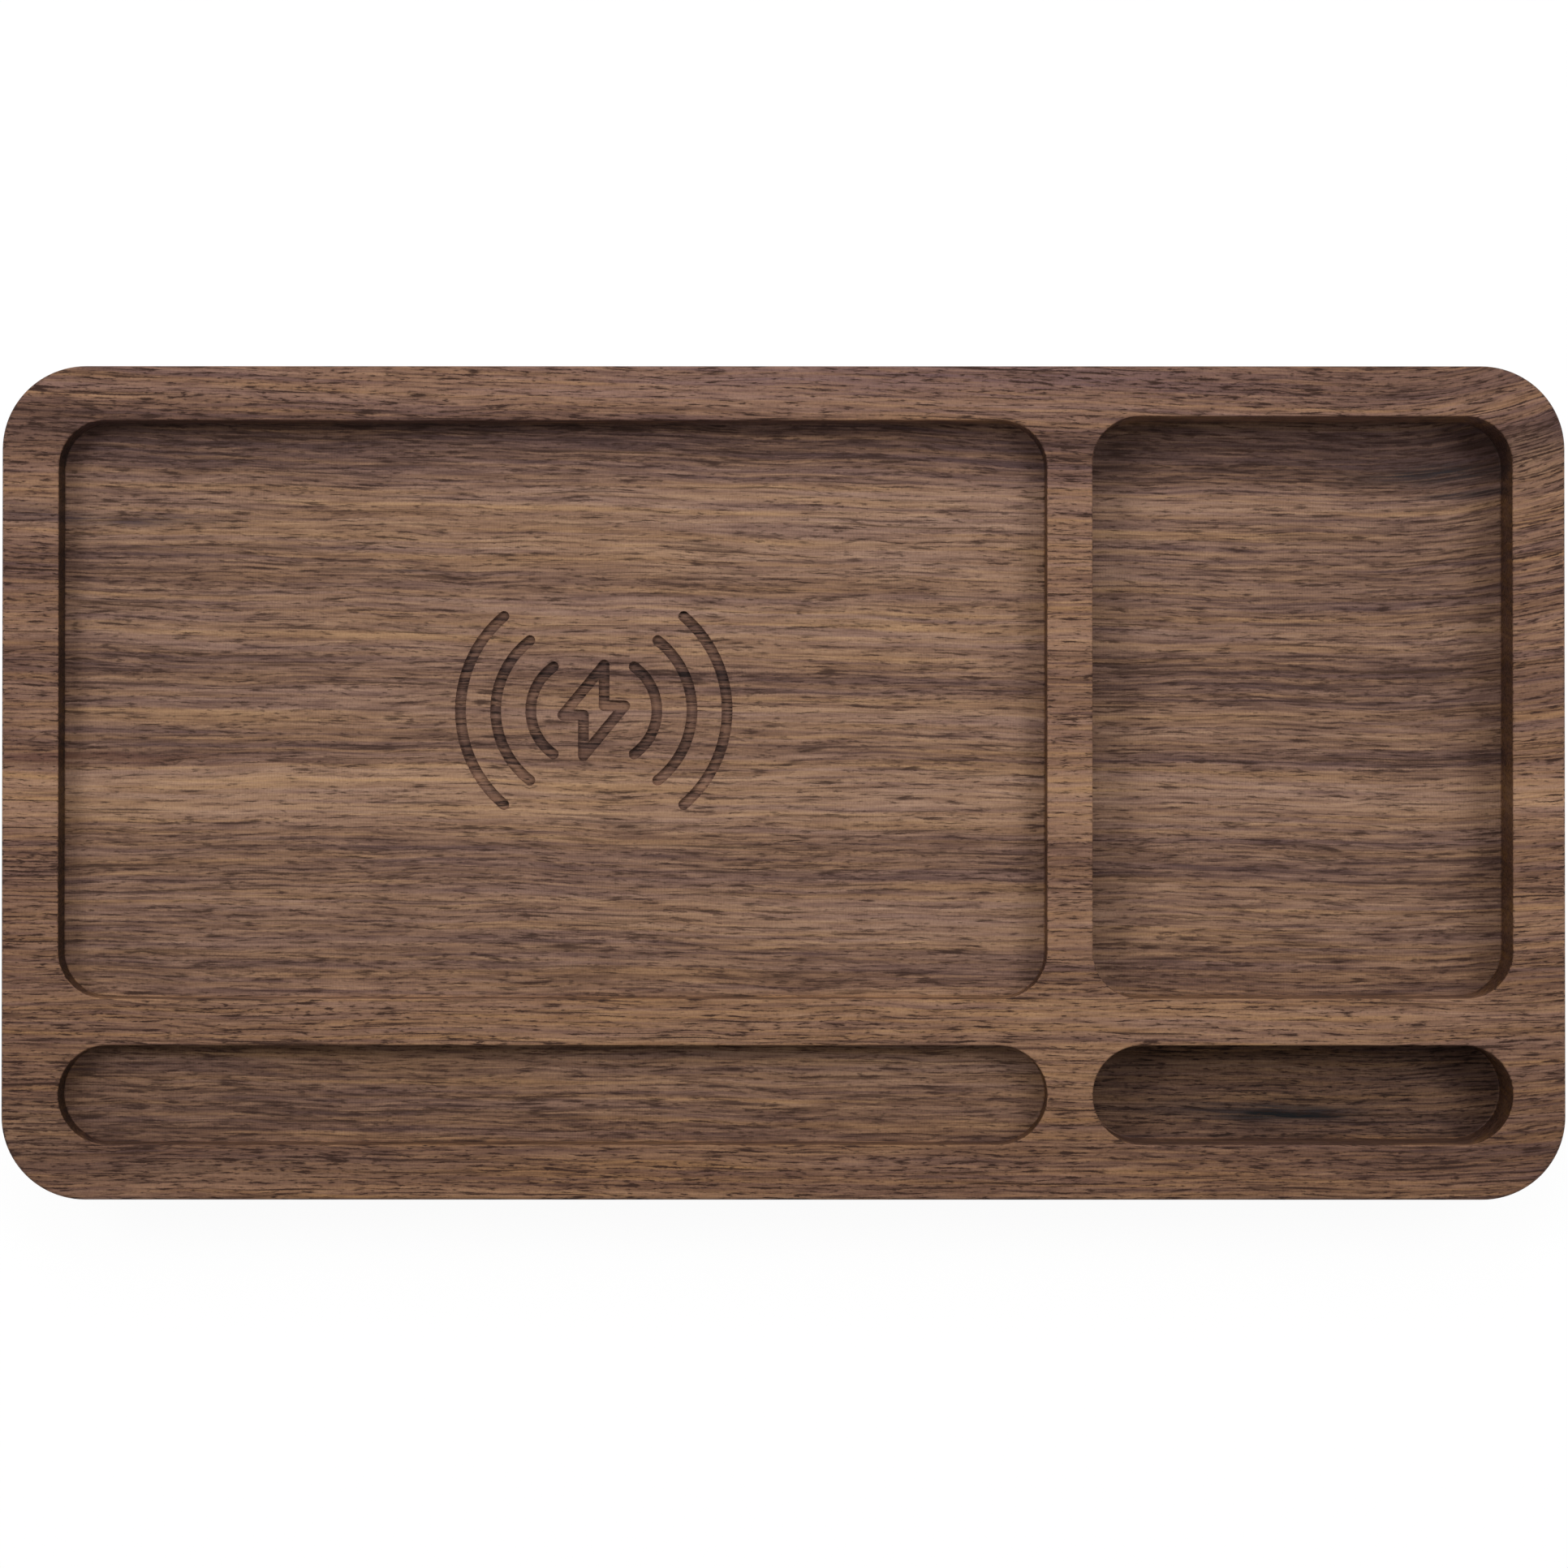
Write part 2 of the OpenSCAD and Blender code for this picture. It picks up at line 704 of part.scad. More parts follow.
// The turns are half circles about two middles, half a step apart, so they join into one spiral
module coil_turns_spiral() {
    half_step = coil_pitch / 2;
    rotate([0, 0, 90])
        for (i = [0 : 2 * coil_turns - 1])
            rotate([0, 0, i % 2 == 0 ? 0 : 180])
                translate([-half_step / 2, 0, 0])
                    rotate_extrude(angle = 180)
                        translate([coil_inner_r + (i + 0.5) * half_step, 0])
                            circle(d = wire_d, $fn = thin_fn);
}

// Both leads turn to the rear and end on the board
module transmit_coil() {
    color([0.72, 0.42, 0.22])
        translate([symbol_x, symbol_y, 0]) {
            translate([0, 0, coil_z])
                coil_turns_spiral();
            bent_wire([
                [0, coil_inner_r, coil_z],
                [inner_lead_x, coil_inner_r, coil_z],
                [inner_lead_x, coil_inner_r, lead_z],
                [inner_lead_x, solder_y - symbol_y, lead_z],
                [inner_lead_x, solder_y - symbol_y, board_top_z]
            ], wire_d, lead_bend_r);
            bent_wire([
                [0, coil_outer_r, coil_z],
                [outer_lead_x, coil_outer_r, coil_z],
                [outer_lead_x, solder_y - symbol_y, coil_z],
                [outer_lead_x, solder_y - symbol_y, board_top_z]
            ], wire_d, lead_bend_r);
        }
}

// Square tile with a slot from its middle to its rear edge
module ferrite_tile() {
    color([0.2, 0.2, 0.21])
        translate([symbol_x, symbol_y, ferrite_z])
            linear_extrude(ferrite_t)
                difference() {
                    round_rect(ferrite_w, ferrite_w, ferrite_corner_r);
                    circle(d = ferrite_slot_w);
                    translate([-ferrite_slot_w / 2, 0])
                        square([ferrite_slot_w, ferrite_w]);
                }
}

module coil_foam() {
    color([0.3, 0.3, 0.32])
        translate([symbol_x, symbol_y, cover_top_z])
            block([foam_w, foam_w, ferrite_z - cover_top_z]);
}

module sensor_bead() {
    translate([symbol_x + sensor_x, symbol_y, sensor_z])
        sphere(d = sensor_bead_d);
}

module temperature_sensor() {
    color([0.1, 0.1, 0.1])
        sensor_bead();
}

module sensor_wires() {
    color([0.75, 0.1, 0.1])
        difference() {
            for (side = [-1, 1])
                translate([symbol_x + sensor_x + side * sensor_wire_pitch / 2, 0, 0])
                    bent_wire([
                        [0, symbol_y, sensor_wire_z],
                        [0, solder_y, sensor_wire_z],
                        [0, solder_y, board_top_z]
                    ], sensor_wire_d, sensor_wire_d);
            sensor_bead();
        }
}

// Circuit board and its components

module circuit_board() {
    color([0.05, 0.3, 0.16])
        difference() {
            translate([symbol_x, board_y, board_z])
                linear_extrude(board_t)
                    round_rect(board_w, board_l, board_corner_r);
            at_board_holes(board_z - overrun)
                cylinder(h = board_t + 2 * overrun, d = board_hole_d, $fn = thin_fn);
        }
}

module controller_chip() {
    color([0.1, 0.1, 0.11])
        on_board(chip_share)
            block([chip_w, chip_w, chip_h]);
}

module power_inductor() {
    color([0.3, 0.3, 0.3])
        on_board(inductor_share)
            linear_extrude(inductor_h)
                round_rect(inductor_w, inductor_w, inductor_w / 5);
}

module sense_resistor() {
    on_board(sense_resistor_share)
        capped_block(sense_resistor_size, [0.1, 0.1, 0.1]);
}

module transistor(i) {
    color([0.1, 0.1, 0.11])
        on_board(transistor_shares[i])
            block([transistor_w, transistor_w, transistor_h]);
}

module resonance_capacitor(i) {
    on_board(resonance_cap_shares[i])
        rotate([0, 0, 90])
            capped_block(resonance_cap_size, [0.75, 0.6, 0.42]);
}

module filter_capacitor(i) {
    on_board(filter_cap_shares[i])
        capped_block(filter_cap_size, [0.7, 0.55, 0.4]);
}

module chip_resistors() {
    for (share = resistor_shares)
        on_board(share)
            rotate([0, 0, 90])
                capped_block(resistor_size, [0.1, 0.1, 0.1]);
}

// Fills the space between the board and the cover, under the four transistors
module heat_pad() {
    pad_share = (transistor_shares[0] + transistor_shares[3]) / 2;
    color([0.55, 0.65, 0.8])
        on_board(pad_share)
            translate([0, 0, -board_t - boss_h])
                block([heat_pad_w, heat_pad_w, boss_h]);
}

// Power socket

module socket_shell() {
    color("silver")
        difference() {
            port_stadium(shell_w, shell_h, mouth_y, shell_l);
            port_stadium(
                shell_w - 2 * shell_wall,
                shell_h - 2 * shell_wall,
                mouth_y + overrun,
                shell_l + 2 * overrun
            );
        }
}

module socket_tongue() {
    color([0.08, 0.08, 0.08]) {
        port_stadium(
            shell_w - 2 * shell_wall,
            shell_h - 2 * shell_wall,
            mouth_y - shell_l + tongue_base_t,
            tongue_base_t
        );
        translate([symbol_x, mouth_y - (tongue_setback + shell_l) / 2, port_z])
            cube([tongue_w, shell_l - tongue_setback, tongue_t], center = true);
    }
}

module socket_contacts() {
    contact_l = shell_l - tongue_base_t - tongue_setback - 2 * contact_setback;
    color("gold")
        for (side = [-1, 1], i = [0 : contact_count - 1])
            translate([
                symbol_x + (i - (contact_count - 1) / 2) * contact_pitch,
                mouth_y - tongue_setback - contact_setback - contact_l / 2,
                port_z + side * (tongue_t + contact_t) / 2
            ])
                cube([contact_w, contact_l, contact_t], center = true);
}

// Cup pressed into the rear face, with a flange, and a hole in its back wall for the shell
module port_bezel() {
    outer_w = port_recess_w + 2 * bezel_wall;
    outer_h = port_recess_h + 2 * bezel_wall;
    rear_y = body_d / 2;
    color([0.1, 0.1, 0.11])
        difference() {
            union() {
                port_stadium(outer_w, outer_h, rear_y, port_recess_depth + bezel_back_t);
                port_stadium(
                    outer_w + 2 * bezel_flange,
                    outer_h + 2 * bezel_flange,
                    rear_y,
                    bezel_flange_t
                );
            }
            port_stadium(port_recess_w, port_recess_h, rear_y + overrun, port_recess_depth + overrun);
            port_stadium(
                shell_w + 2 * fit_gap,
                shell_h + 2 * fit_gap,
                rear_y + overrun,
                port_recess_depth + bezel_back_t + 2 * overrun
            );
        }
}

tray_body();
base_cover();
cover_screws();
foot(foot_sides[0]);  // foot_front_left
foot(foot_sides[1]);  // foot_front_right
foot(foot_sides[2]);  // foot_rear_left
foot(foot_sides[3]);  // foot_rear_right
foot_adhesive(foot_sides[0]);  // adhesive_front_left
foot_adhesive(foot_sides[1]);  // adhesive_front_right
foot_adhesive(foot_sides[2]);  // adhesive_rear_left
foot_adhesive(foot_sides[3]);  // adhesive_rear_right
coil_tape();
transmit_coil();
ferrite_tile();
coil_foam();
temperature_sensor();
sensor_wires();
circuit_board();
board_screws();
controller_chip();
power_inductor();
sense_resistor();
transistor(0);  // transistor_1
transistor(1);  // transistor_2
transistor(2);  // transistor_3
transistor(3);  // transistor_4
resonance_capacitor(0);  // resonance_capacitor_1
resonance_capacitor(1);  // resonance_capacitor_2
resonance_capacitor(2);  // resonance_capacitor_3
resonance_capacitor(3);  // resonance_capacitor_4
filter_capacitor(0);  // filter_capacitor_1
filter_capacitor(1);  // filter_capacitor_2
filter_capacitor(2);  // filter_capacitor_3
chip_resistors();
heat_pad();
socket_shell();
socket_tongue();
socket_contacts();
port_bezel();
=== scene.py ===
# %% [markdown]
# # A walnut desk tray that charges a phone
# The real object is one board of walnut, 300 mm wide and 160 mm deep. A router has cut four pockets
# into its top, and a charger is screwed into a bay underneath. The solids come ready made from the
# CAD model, and this script gives them their looks. It could start from an empty scene, but then
# the wood and the charger could drift apart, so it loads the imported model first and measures
# everything against it.

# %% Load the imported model
from math import acos, atan2, cos, hypot, pi, radians, sin

import bmesh
import bpy
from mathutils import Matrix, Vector


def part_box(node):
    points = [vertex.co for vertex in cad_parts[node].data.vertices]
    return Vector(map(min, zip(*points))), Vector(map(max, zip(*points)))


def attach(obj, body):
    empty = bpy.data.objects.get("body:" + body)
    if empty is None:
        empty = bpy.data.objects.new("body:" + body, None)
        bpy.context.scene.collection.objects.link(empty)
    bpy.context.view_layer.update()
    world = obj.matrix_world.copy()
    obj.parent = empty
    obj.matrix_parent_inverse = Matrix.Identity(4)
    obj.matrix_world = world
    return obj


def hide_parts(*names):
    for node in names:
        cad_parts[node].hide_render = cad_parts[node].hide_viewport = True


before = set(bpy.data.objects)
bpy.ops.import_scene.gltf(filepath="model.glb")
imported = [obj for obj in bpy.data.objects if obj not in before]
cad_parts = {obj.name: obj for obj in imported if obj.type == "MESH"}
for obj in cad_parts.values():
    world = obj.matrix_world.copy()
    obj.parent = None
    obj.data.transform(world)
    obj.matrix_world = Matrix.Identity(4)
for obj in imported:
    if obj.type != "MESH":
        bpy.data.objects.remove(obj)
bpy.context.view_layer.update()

MM = 0.001


# %% [markdown]
# ## The camera
# The photograph looks straight down from well above the tray, with a long lens. The right wall of
# each right-hand pocket just shows and its left wall doesn't, so the lens is over the middle of the
# tray and not infinitely far away. Where the rims and floors of the pockets fall in the picture
# gives the height, 703 mm, and the field of view, about 25 degrees.

# %% Camera
def new_object(name, data):
    """A new object in the scene."""
    made = bpy.data.objects.new(name, data)
    bpy.context.scene.collection.objects.link(made)
    return made


photo_width_px = 1932
focal_length_px = 4379.4
camera_data = bpy.data.cameras.new("photo_camera")
camera_data.sensor_width = 36
camera_data.lens = camera_data.sensor_width * focal_length_px / photo_width_px
camera = new_object("photo_camera", camera_data)
camera.location = (0.2 * MM, -5.4 * MM, 703 * MM)
camera.rotation_euler = (radians(0.431), radians(0.008), radians(0.011))
bpy.context.scene.camera = camera
print("lens:", round(camera_data.lens, 1), "mm")

# %% [markdown]
# ## The studio
# The tray lies on white paper. One large softbox hangs behind it, so the rear walls of the pockets
# are in shade and the front rims catch a thin line of light, and a smaller one on either side
# lights the side walls a little. One lamp overhead would be simpler, but it would leave the pockets
# flat. The paper shows white because its own colour is white. Part of what the camera sees of it
# glows, which keeps it even, and the rest is plain paper, which keeps the tray's soft shadow. The
# surround is white where the camera and shiny metal look at it, but lights the tray at only a fifth
# of that. Overhead it stays dim for them too, or its reflection would veil the wood as seen from
# above.
#
# Materials are trees of nodes. A few helpers keep them short: each adds one kind of node to the
# tree that its input comes from, and hands back the output. The rest come where they are first
# needed.

# %% Helpers for materials
def new_tree(name):
    """A material with an empty node tree, and its tree."""
    material = bpy.data.materials.new(name)
    material.use_nodes = True
    material.node_tree.nodes.clear()
    return material, material.node_tree


def add(tree, kind, inputs=None, **settings):
    """A node with its settings, and with its inputs set to values or joined to sockets."""
    node = tree.nodes.new("ShaderNode" + kind)
    for name, value in settings.items():
        setattr(node, name, value)
    for key, value in (inputs or {}).items():
        if isinstance(value, bpy.types.NodeSocket):
            tree.links.new(value, node.inputs[key])
        else:
            node.inputs[key].default_value = value
    return node


def tree_of(*values):
    """The node tree of the first socket among the values."""
    return next(value.id_data for value in values if isinstance(value, bpy.types.NodeSocket))


def calc(operation, *values):
    """The result of a Math node."""
    node = add(tree_of(*values), "Math", dict(enumerate(values)), operation=operation)
    return node.outputs[0]


# %% White paper floor
def looked_at(tree):
    """1 where the camera, shiny metal or a clear piece looks, and 0 for the light that falls."""
    rays = add(tree, "LightPath").outputs
    camera_or_glossy = calc("MAXIMUM", rays["Is Camera Ray"], rays["Is Glossy Ray"])
    return calc("MAXIMUM", camera_or_glossy, rays["Is Transmission Ray"])


glow_share, glow_strength = 0.92, 1.03
paper, tree = new_tree("white_paper")
matte = add(tree, "BsdfDiffuse", {"Color": (0.9, 0.9, 0.9, 1)})
glow = add(tree, "Emission", {"Color": (1, 1, 1, 1), "Strength": glow_strength})
even_share = calc("MULTIPLY", looked_at(tree), glow_share)
mixed = add(tree, "MixShader", {0: even_share, 1: matte.outputs[0], 2: glow.outputs[0]})
add(tree, "OutputMaterial", {"Surface": mixed.outputs[0]})

floor_mesh = bpy.data.meshes.new("floor")
floor_reach = 6.0
floor_mesh.from_pydata(
    [(x * floor_reach, y * floor_reach, 0) for x, y in ((-1, -1), (1, -1), (1, 1), (-1, 1))],
    [],
    [(0, 1, 2, 3)],
)
floor_mesh.materials.append(paper)
new_object("floor", floor_mesh)
print("white paper:", 2 * floor_reach, "m wide")

# %% Three soft lamps
def softbox(name, place, size, watts):
    """A square lamp at a place in metres, turned to the middle of the tray."""
    lamp_data = bpy.data.lights.new(name, "AREA")
    lamp_data.shape = "SQUARE"
    lamp_data.size = size
    lamp_data.energy = watts
    lamp = new_object(name, lamp_data)
    lamp.location = place
    lamp.rotation_euler = (-Vector(place)).to_track_quat("-Z", "Y").to_euler()
    print(f"{name}: {watts} W, {size} m wide")


softbox("rear_lamp", place=(0.0, 0.95, 1.15), size=0.8, watts=7.0)
softbox("left_lamp", place=(-0.6, 0.25, 0.75), size=0.35, watts=2.85)
softbox("right_lamp", place=(0.6, 0.25, 0.75), size=0.35, watts=2.75)

# %% White surround
def split(place):
    """The outputs X, Y and Z of a place or a direction."""
    return add(tree_of(place), "SeparateXYZ", {0: place}).outputs


def remap(value, from_low, from_high, to_low=0.0, to_high=1.0, smooth=False):
    """The result of a Map Range node."""
    limits = {"From Min": from_low, "From Max": from_high, "To Min": to_low, "To Max": to_high}
    step = "SMOOTHSTEP" if smooth else "LINEAR"
    node = add(tree_of(value), "MapRange", {"Value": value, **limits}, interpolation_type=step)
    return node.outputs[0]


world = bpy.data.worlds.new("surround")
world.use_nodes = True
bpy.context.scene.world = world
tree = world.node_tree
tree.nodes.clear()
surround_light, surround_white = 0.22, 1.0
white_up_to, dim_from = 0.35, 0.8
upward = split(add(tree, "TexCoord").outputs["Generated"])["Z"]
low_down = remap(upward, white_up_to, dim_from, 1.0, 0.0, smooth=True)
white_share = calc("MULTIPLY", looked_at(tree), low_down)
strength = calc("MULTIPLY_ADD", white_share, surround_white - surround_light, surround_light)
glow = add(tree, "Background", {"Color": (1, 1, 1, 1), "Strength": strength})
add(tree, "OutputWorld", {"Surface": glow.outputs[0]})
bpy.context.scene.view_settings.view_transform = "Standard"
print("surround:", surround_light, "as light and", surround_white, "as seen")

# %% [markdown]
# ## Outlines
# Seen from above, everything that a router cuts is one closed outline, followed by a bit that goes
# down. A round-cornered rectangle makes the tray and the pockets, and each can be drawn larger or
# smaller with the same number of points. That is what lets a wall be built as a few outlines, one
# above the other, with faces between them.

# %% Outline of a round-cornered rectangle
def arc_points(middle, radius, start, end, steps):
    """Points along an arc, angles in degrees."""
    angles = [radians(start + (end - start) * i / steps) for i in range(steps + 1)]
    return [(middle[0] + radius * cos(a), middle[1] + radius * sin(a)) for a in angles]


def without_doubles(points):
    """The closed outline, less any point that lies on the one before it."""
    kept = []
    for i, point in enumerate(points):
        before = points[i - 1]
        if hypot(point[0] - before[0], point[1] - before[1]) > 1e-6:
            kept.append(point)
    return kept


def rounded(plan, radius, grow=0.0, steps=16):
    """Counterclockwise outline of plan = (left, right, front, rear), drawn larger by grow."""
    left, right, front, rear = plan
    corners = (
        (right - radius, rear - radius),
        (left + radius, rear - radius),
        (left + radius, front + radius),
        (right - radius, front + radius),
    )
    points = []
    for turn, corner in enumerate(corners):
        points += arc_points(corner, radius + grow, 90 * turn, 90 * turn + 90, steps)
    return without_doubles(points)


# %% [markdown]
# ## Building walls and faces
# The tray could be cut out of a block with boolean modifiers, as the router does it. Booleans leave
# long thin faces that shade badly, and they can't round an edge. Here the walls are strips between
# outlines, so every eased edge and every fillet is made with the wall that it belongs to, and flat
# faces are filled in between the finished walls.

# %% Rings, strips and flat faces
SANDED, MILLED, WALLS, ENGRAVED, UNDERSIDE, DEEP_PAINTED_SHADE = range(6)


def ring_at(solid, outline, height):
    """A ring of corners from an outline in mm, at a height in mm."""
    return [solid.verts.new((x * MM, y * MM, height * MM)) for x, y in outline]


def strip(solid, first, second, finish):
    """Faces between two rings of the same number of corners."""
    made = []
    for i in range(len(first)):
        face = solid.faces.new((first[i - 1], first[i], second[i], second[i - 1]))
        face.material_index = finish
        made.append(face)
    return made


def wall(solid, outline_grown_by, profile, finish):
    """Strips through a profile of (grow, height), and its first and last ring."""
    rings = [ring_at(solid, outline_grown_by(grow), height) for grow, height in profile]
    faces = []
    for first, second in zip(rings, rings[1:]):
        faces += strip(solid, first, second, finish)
    return rings[0], rings[-1], faces


def flat(solid, rings, finish):
    """Fills the area between rings that lie in one plane, the outer one and any holes."""
    edges = []
    for ring in rings:
        for i in range(len(ring)):
            pair = (ring[i - 1], ring[i])
            edges.append(solid.edges.get(pair) or solid.edges.new(pair))
    made = bmesh.ops.triangle_fill(solid, use_beauty=True, use_dissolve=False, edges=edges)
    for part in made["geom"]:
        if isinstance(part, bmesh.types.BMFace):
            part.material_index = finish


def eased(size, steps=4):
    """Quarter circle of an eased edge: (inward, downward) from the flat face to the wall."""
    return [
        (size - size * sin(radians(90 * i / steps)), size - size * cos(radians(90 * i / steps)))
        for i in range(steps + 1)
    ]


# %% [markdown]
# ## The tray's outside
# The board is 20 mm thick and stands 1.5 mm clear of the desk on its feet. A sander has eased its
# outer edges to a radius of 0.8 mm, which is what catches the thin line of light around it.

# %% Outside of the board
under_z, top_z = 1.5, 21.5
board_plan, board_corner, board_ease = (-150, 150, -80, 80), 16, 0.8
tray = bmesh.new()
profile = [(-inward, under_z + downward) for inward, downward in eased(board_ease)]
profile += [(-inward, top_z - downward) for inward, downward in reversed(eased(board_ease))]


def outside(grow):
    """The outline of the board, drawn larger by grow."""
    return rounded(board_plan, board_corner, grow, steps=24)


under_ring, top_ring, outside_faces = wall(tray, outside, profile, SANDED)
print("faces of the outside:", len(outside_faces))

# %% [markdown]
# ## The four pockets
# A large shallow pocket takes the phone, a deeper one takes keys and coins, and two slots with
# half-round ends take a pen and clips. Their rims are eased to 0.3 mm, and the router bit's rounded
# tip leaves a small fillet where the wall meets the floor. The eased rim is sanded like the top,
# and the wall below it isn't, so the strips of each get their own finish.

# %% Pockets: plan, corner radius and height of the floor
rim_ease, floor_fillet = 0.3, 0.35
POCKETS = {
    "phone": ((-139.1, 50.6, -41.4, 69.5), 9.0, 15.5),
    "catch": ((59.3, 139.9, -41.4, 70.3), 9.0, 10.5),
    "pen": ((-139.1, 50.6, -69.4, -50.4), 9.5, 15.5),
    "clip": ((59.3, 139.9, -69.4, -50.4), 9.5, 8.5),
}
rims, pocket_floors = {}, {}
for name, (plan, radius, floor_z) in POCKETS.items():
    eased_part = [(inward, top_z - downward) for inward, downward in eased(rim_ease)]
    fillet_part = [(-out, floor_z + up) for out, up in reversed(eased(floor_fillet, 3))]
    profile = eased_part + fillet_part
    rims[name], pocket_floors[name], faces = wall(
        tray, lambda grow: rounded(plan, radius, grow), profile, WALLS
    )
    around = len(rims[name])
    for face in faces[: around * (len(eased_part) - 1)]:
        face.material_index = SANDED
flat(tray, [top_ring, *rims.values()], SANDED)
# The clip slot's floor gets a finish with painted shade.
for name, finish in (("catch", MILLED), ("pen", MILLED), ("clip", DEEP_PAINTED_SHADE)):
    flat(tray, [pocket_floors[name]], finish)
depths = [f"{name} {top_z - floor_z:g} mm deep" for name, (_, _, floor_z) in POCKETS.items()]
print("pockets:", ", ".join(depths))

# %% [markdown]
# ## The charging symbol
# The phone pocket carries the usual generic picture for charging, a bolt with three arcs on either
# side. It is cut 0.8 mm deep with a 2 mm bit. The bit rounds every outer corner of its path and
# leaves the inner corners sharp, so the outline of a stroke is the path moved sideways by 1 mm,
# with arcs where the path turns away. The arcs of either side are centred 1.9 mm out from the
# bolt's middle, and the larger an arc is, the fewer degrees it reaches.

# %% Outlines of the strokes
symbol_x, symbol_y = -36.7, 14.0
stroke_half, engrave_depth = 1.0, 0.8
arc_offset = 1.9
ARCS = ((10.3, 55), (17.1, 52.3), (23.9, 49.6))


def arc_stroke(radius, reach, side, grow):
    """Outline of one arc, right (0) or left (180) of the bolt, with round ends."""
    half_width, middle = stroke_half + grow, (arc_offset, 0)
    across, up = arc_offset + radius * cos(radians(reach)), radius * sin(radians(reach))
    points = arc_points(middle, radius + half_width, -reach, reach, 28)
    points += arc_points((across, up), half_width, reach, reach + 180, 12)
    points += arc_points(middle, radius - half_width, reach, -reach, 28)
    points += arc_points((across, -up), half_width, 180 - reach, 360 - reach, 12)
    turn = cos(radians(side))
    return without_doubles([(symbol_x + turn * x, symbol_y + turn * y) for x, y in points])


def moved_sideways(path, distance, steps=8):
    """Closed counterclockwise path moved outward, or inward if distance is negative."""
    points = []
    for i, (x, y) in enumerate(path):
        before, after = path[i - 1], path[(i + 1) % len(path)]
        into = atan2(y - before[1], x - before[0])
        out = atan2(after[1] - y, after[0] - x)
        turn = (out - into + pi) % (2 * pi) - pi
        if turn * distance > 0:
            start = into - pi / 2 if distance > 0 else into + pi / 2
            for step in range(steps + 1):
                angle = start + turn * step / steps
                points.append((x + abs(distance) * cos(angle), y + abs(distance) * sin(angle)))
        else:
            angle = into - pi / 2 + turn / 2
            reach = distance / cos(turn / 2)
            points.append((x + reach * cos(angle), y + reach * sin(angle)))
    return points


bolt_path = [(2, 8.8), (-6, -0.9), (-2, -0.9), (-2, -8.8), (6, 0.9), (2, 0.9)]
bolt_path = [(symbol_x + x, symbol_y + y) for x, y in bolt_path]
print("strokes: a bolt of", len(bolt_path), "corners and", 2 * len(ARCS), "arcs")

# %% Cut the symbol into the phone pocket's floor
phone_floor_z = POCKETS["phone"][2]
cut_profile = [
    (0.06, phone_floor_z),
    (0.015, phone_floor_z - 0.02),
    (0.0, phone_floor_z - 0.07),
    (0.0, phone_floor_z - engrave_depth + 0.1),
    (-0.1, phone_floor_z - engrave_depth),
]
holes = []
for radius, reach in ARCS:
    for side in (0, 180):
        rim, bottom, _ = wall(
            tray, lambda grow: arc_stroke(radius, reach, side, grow), cut_profile, ENGRAVED
        )
        flat(tray, [bottom], ENGRAVED)
        holes.append(rim)
rim, outer_bottom, _ = wall(
    tray, lambda grow: moved_sideways(bolt_path, stroke_half + grow), cut_profile, ENGRAVED
)
holes.append(rim)
island_rim, inner_bottom, _ = wall(
    tray, lambda grow: moved_sideways(bolt_path, -stroke_half - grow), cut_profile, ENGRAVED
)
flat(tray, [outer_bottom, inner_bottom], ENGRAVED)
flat(tray, [island_rim], MILLED)
flat(tray, [pocket_floors["phone"], *holes], MILLED)
print("engraved outlines:", len(holes) + 1)

# %% [markdown]
# ## The underside
# Nothing of this shows from above, but the tray is picked up and turned over too. A rebate takes
# the plastic cover, the bay behind it takes the coil and the circuit board, six small holes take
# the cover's screws, and four shallow round recesses take the feet.

# %% Bay, rebate, screw holes and foot recesses
ledge_z, bay_roof_z, bay_rear_y = 3.5, 13.0, 74.0
coil_half, board_half, bay_corner = 26.9, 24.5, 4.0
shoulder = acos((board_half - coil_half + bay_corner) / bay_corner)


def bay_outline():
    """Square around the coil and rectangle around the board, as one outline."""
    inner, rear = coil_half - bay_corner, bay_rear_y - symbol_y - bay_corner
    right_side = []
    for middle, start, end in (
        ((inner, -inner), -90, 0),
        ((inner, inner), 0, shoulder * 180 / pi),
        ((board_half - bay_corner, rear), 0, 90),
    ):
        right_side += arc_points(middle, bay_corner, start, end, 8)
    left_side = [(-x, y) for x, y in reversed(right_side)]
    return [(symbol_x + x, symbol_y + y) for x, y in right_side + left_side]


cover_plan, cover_corner = (symbol_x - 33.7, symbol_x + 33.7, -19.7, 76.3), 4.8
rebate_rim, rebate_ring, _ = wall(
    tray,
    lambda grow: rounded(cover_plan, cover_corner, grow, steps=8),
    [(0, under_z), (0, ledge_z)],
    UNDERSIDE,
)
bay_rim, bay_roof, bay_faces = wall(
    tray, lambda grow: bay_outline(), [(0, ledge_z), (0, bay_roof_z)], UNDERSIDE
)
flat(tray, [bay_roof], UNDERSIDE)


def round_hole(x, y, radius, start, end, steps):
    """A blind round hole from one height to another, and the ring of its mouth."""
    circle = without_doubles(arc_points((x, y), radius, 0, 360, steps))
    mouth, bottom, _ = wall(tray, lambda grow: circle, [(0, start), (0, end)], UNDERSIDE)
    flat(tray, [bottom], UNDERSIDE)
    return mouth


pilot_radius, pilot_top_z = 1.38, 9.58
pilot_holes = [
    round_hole(symbol_x + x, y, pilot_radius, ledge_z, pilot_top_z, 16)
    for x in (-29.8, 29.8)
    for y in (-15.8, 28.3, 72.4)
]
foot_recess_radius, foot_recess_z = 7.15, 2.0
foot_recesses = [
    round_hole(x, y, foot_recess_radius, under_z, foot_recess_z, 48)
    for x in (-134, 134)
    for y in (-64, 64)
]
flat(tray, [rebate_ring, bay_rim, *pilot_holes], UNDERSIDE)
flat(tray, [under_ring, rebate_rim, *foot_recesses], UNDERSIDE)
print("underside:", len(pilot_holes), "pilot holes and", len(foot_recesses), "foot recesses")

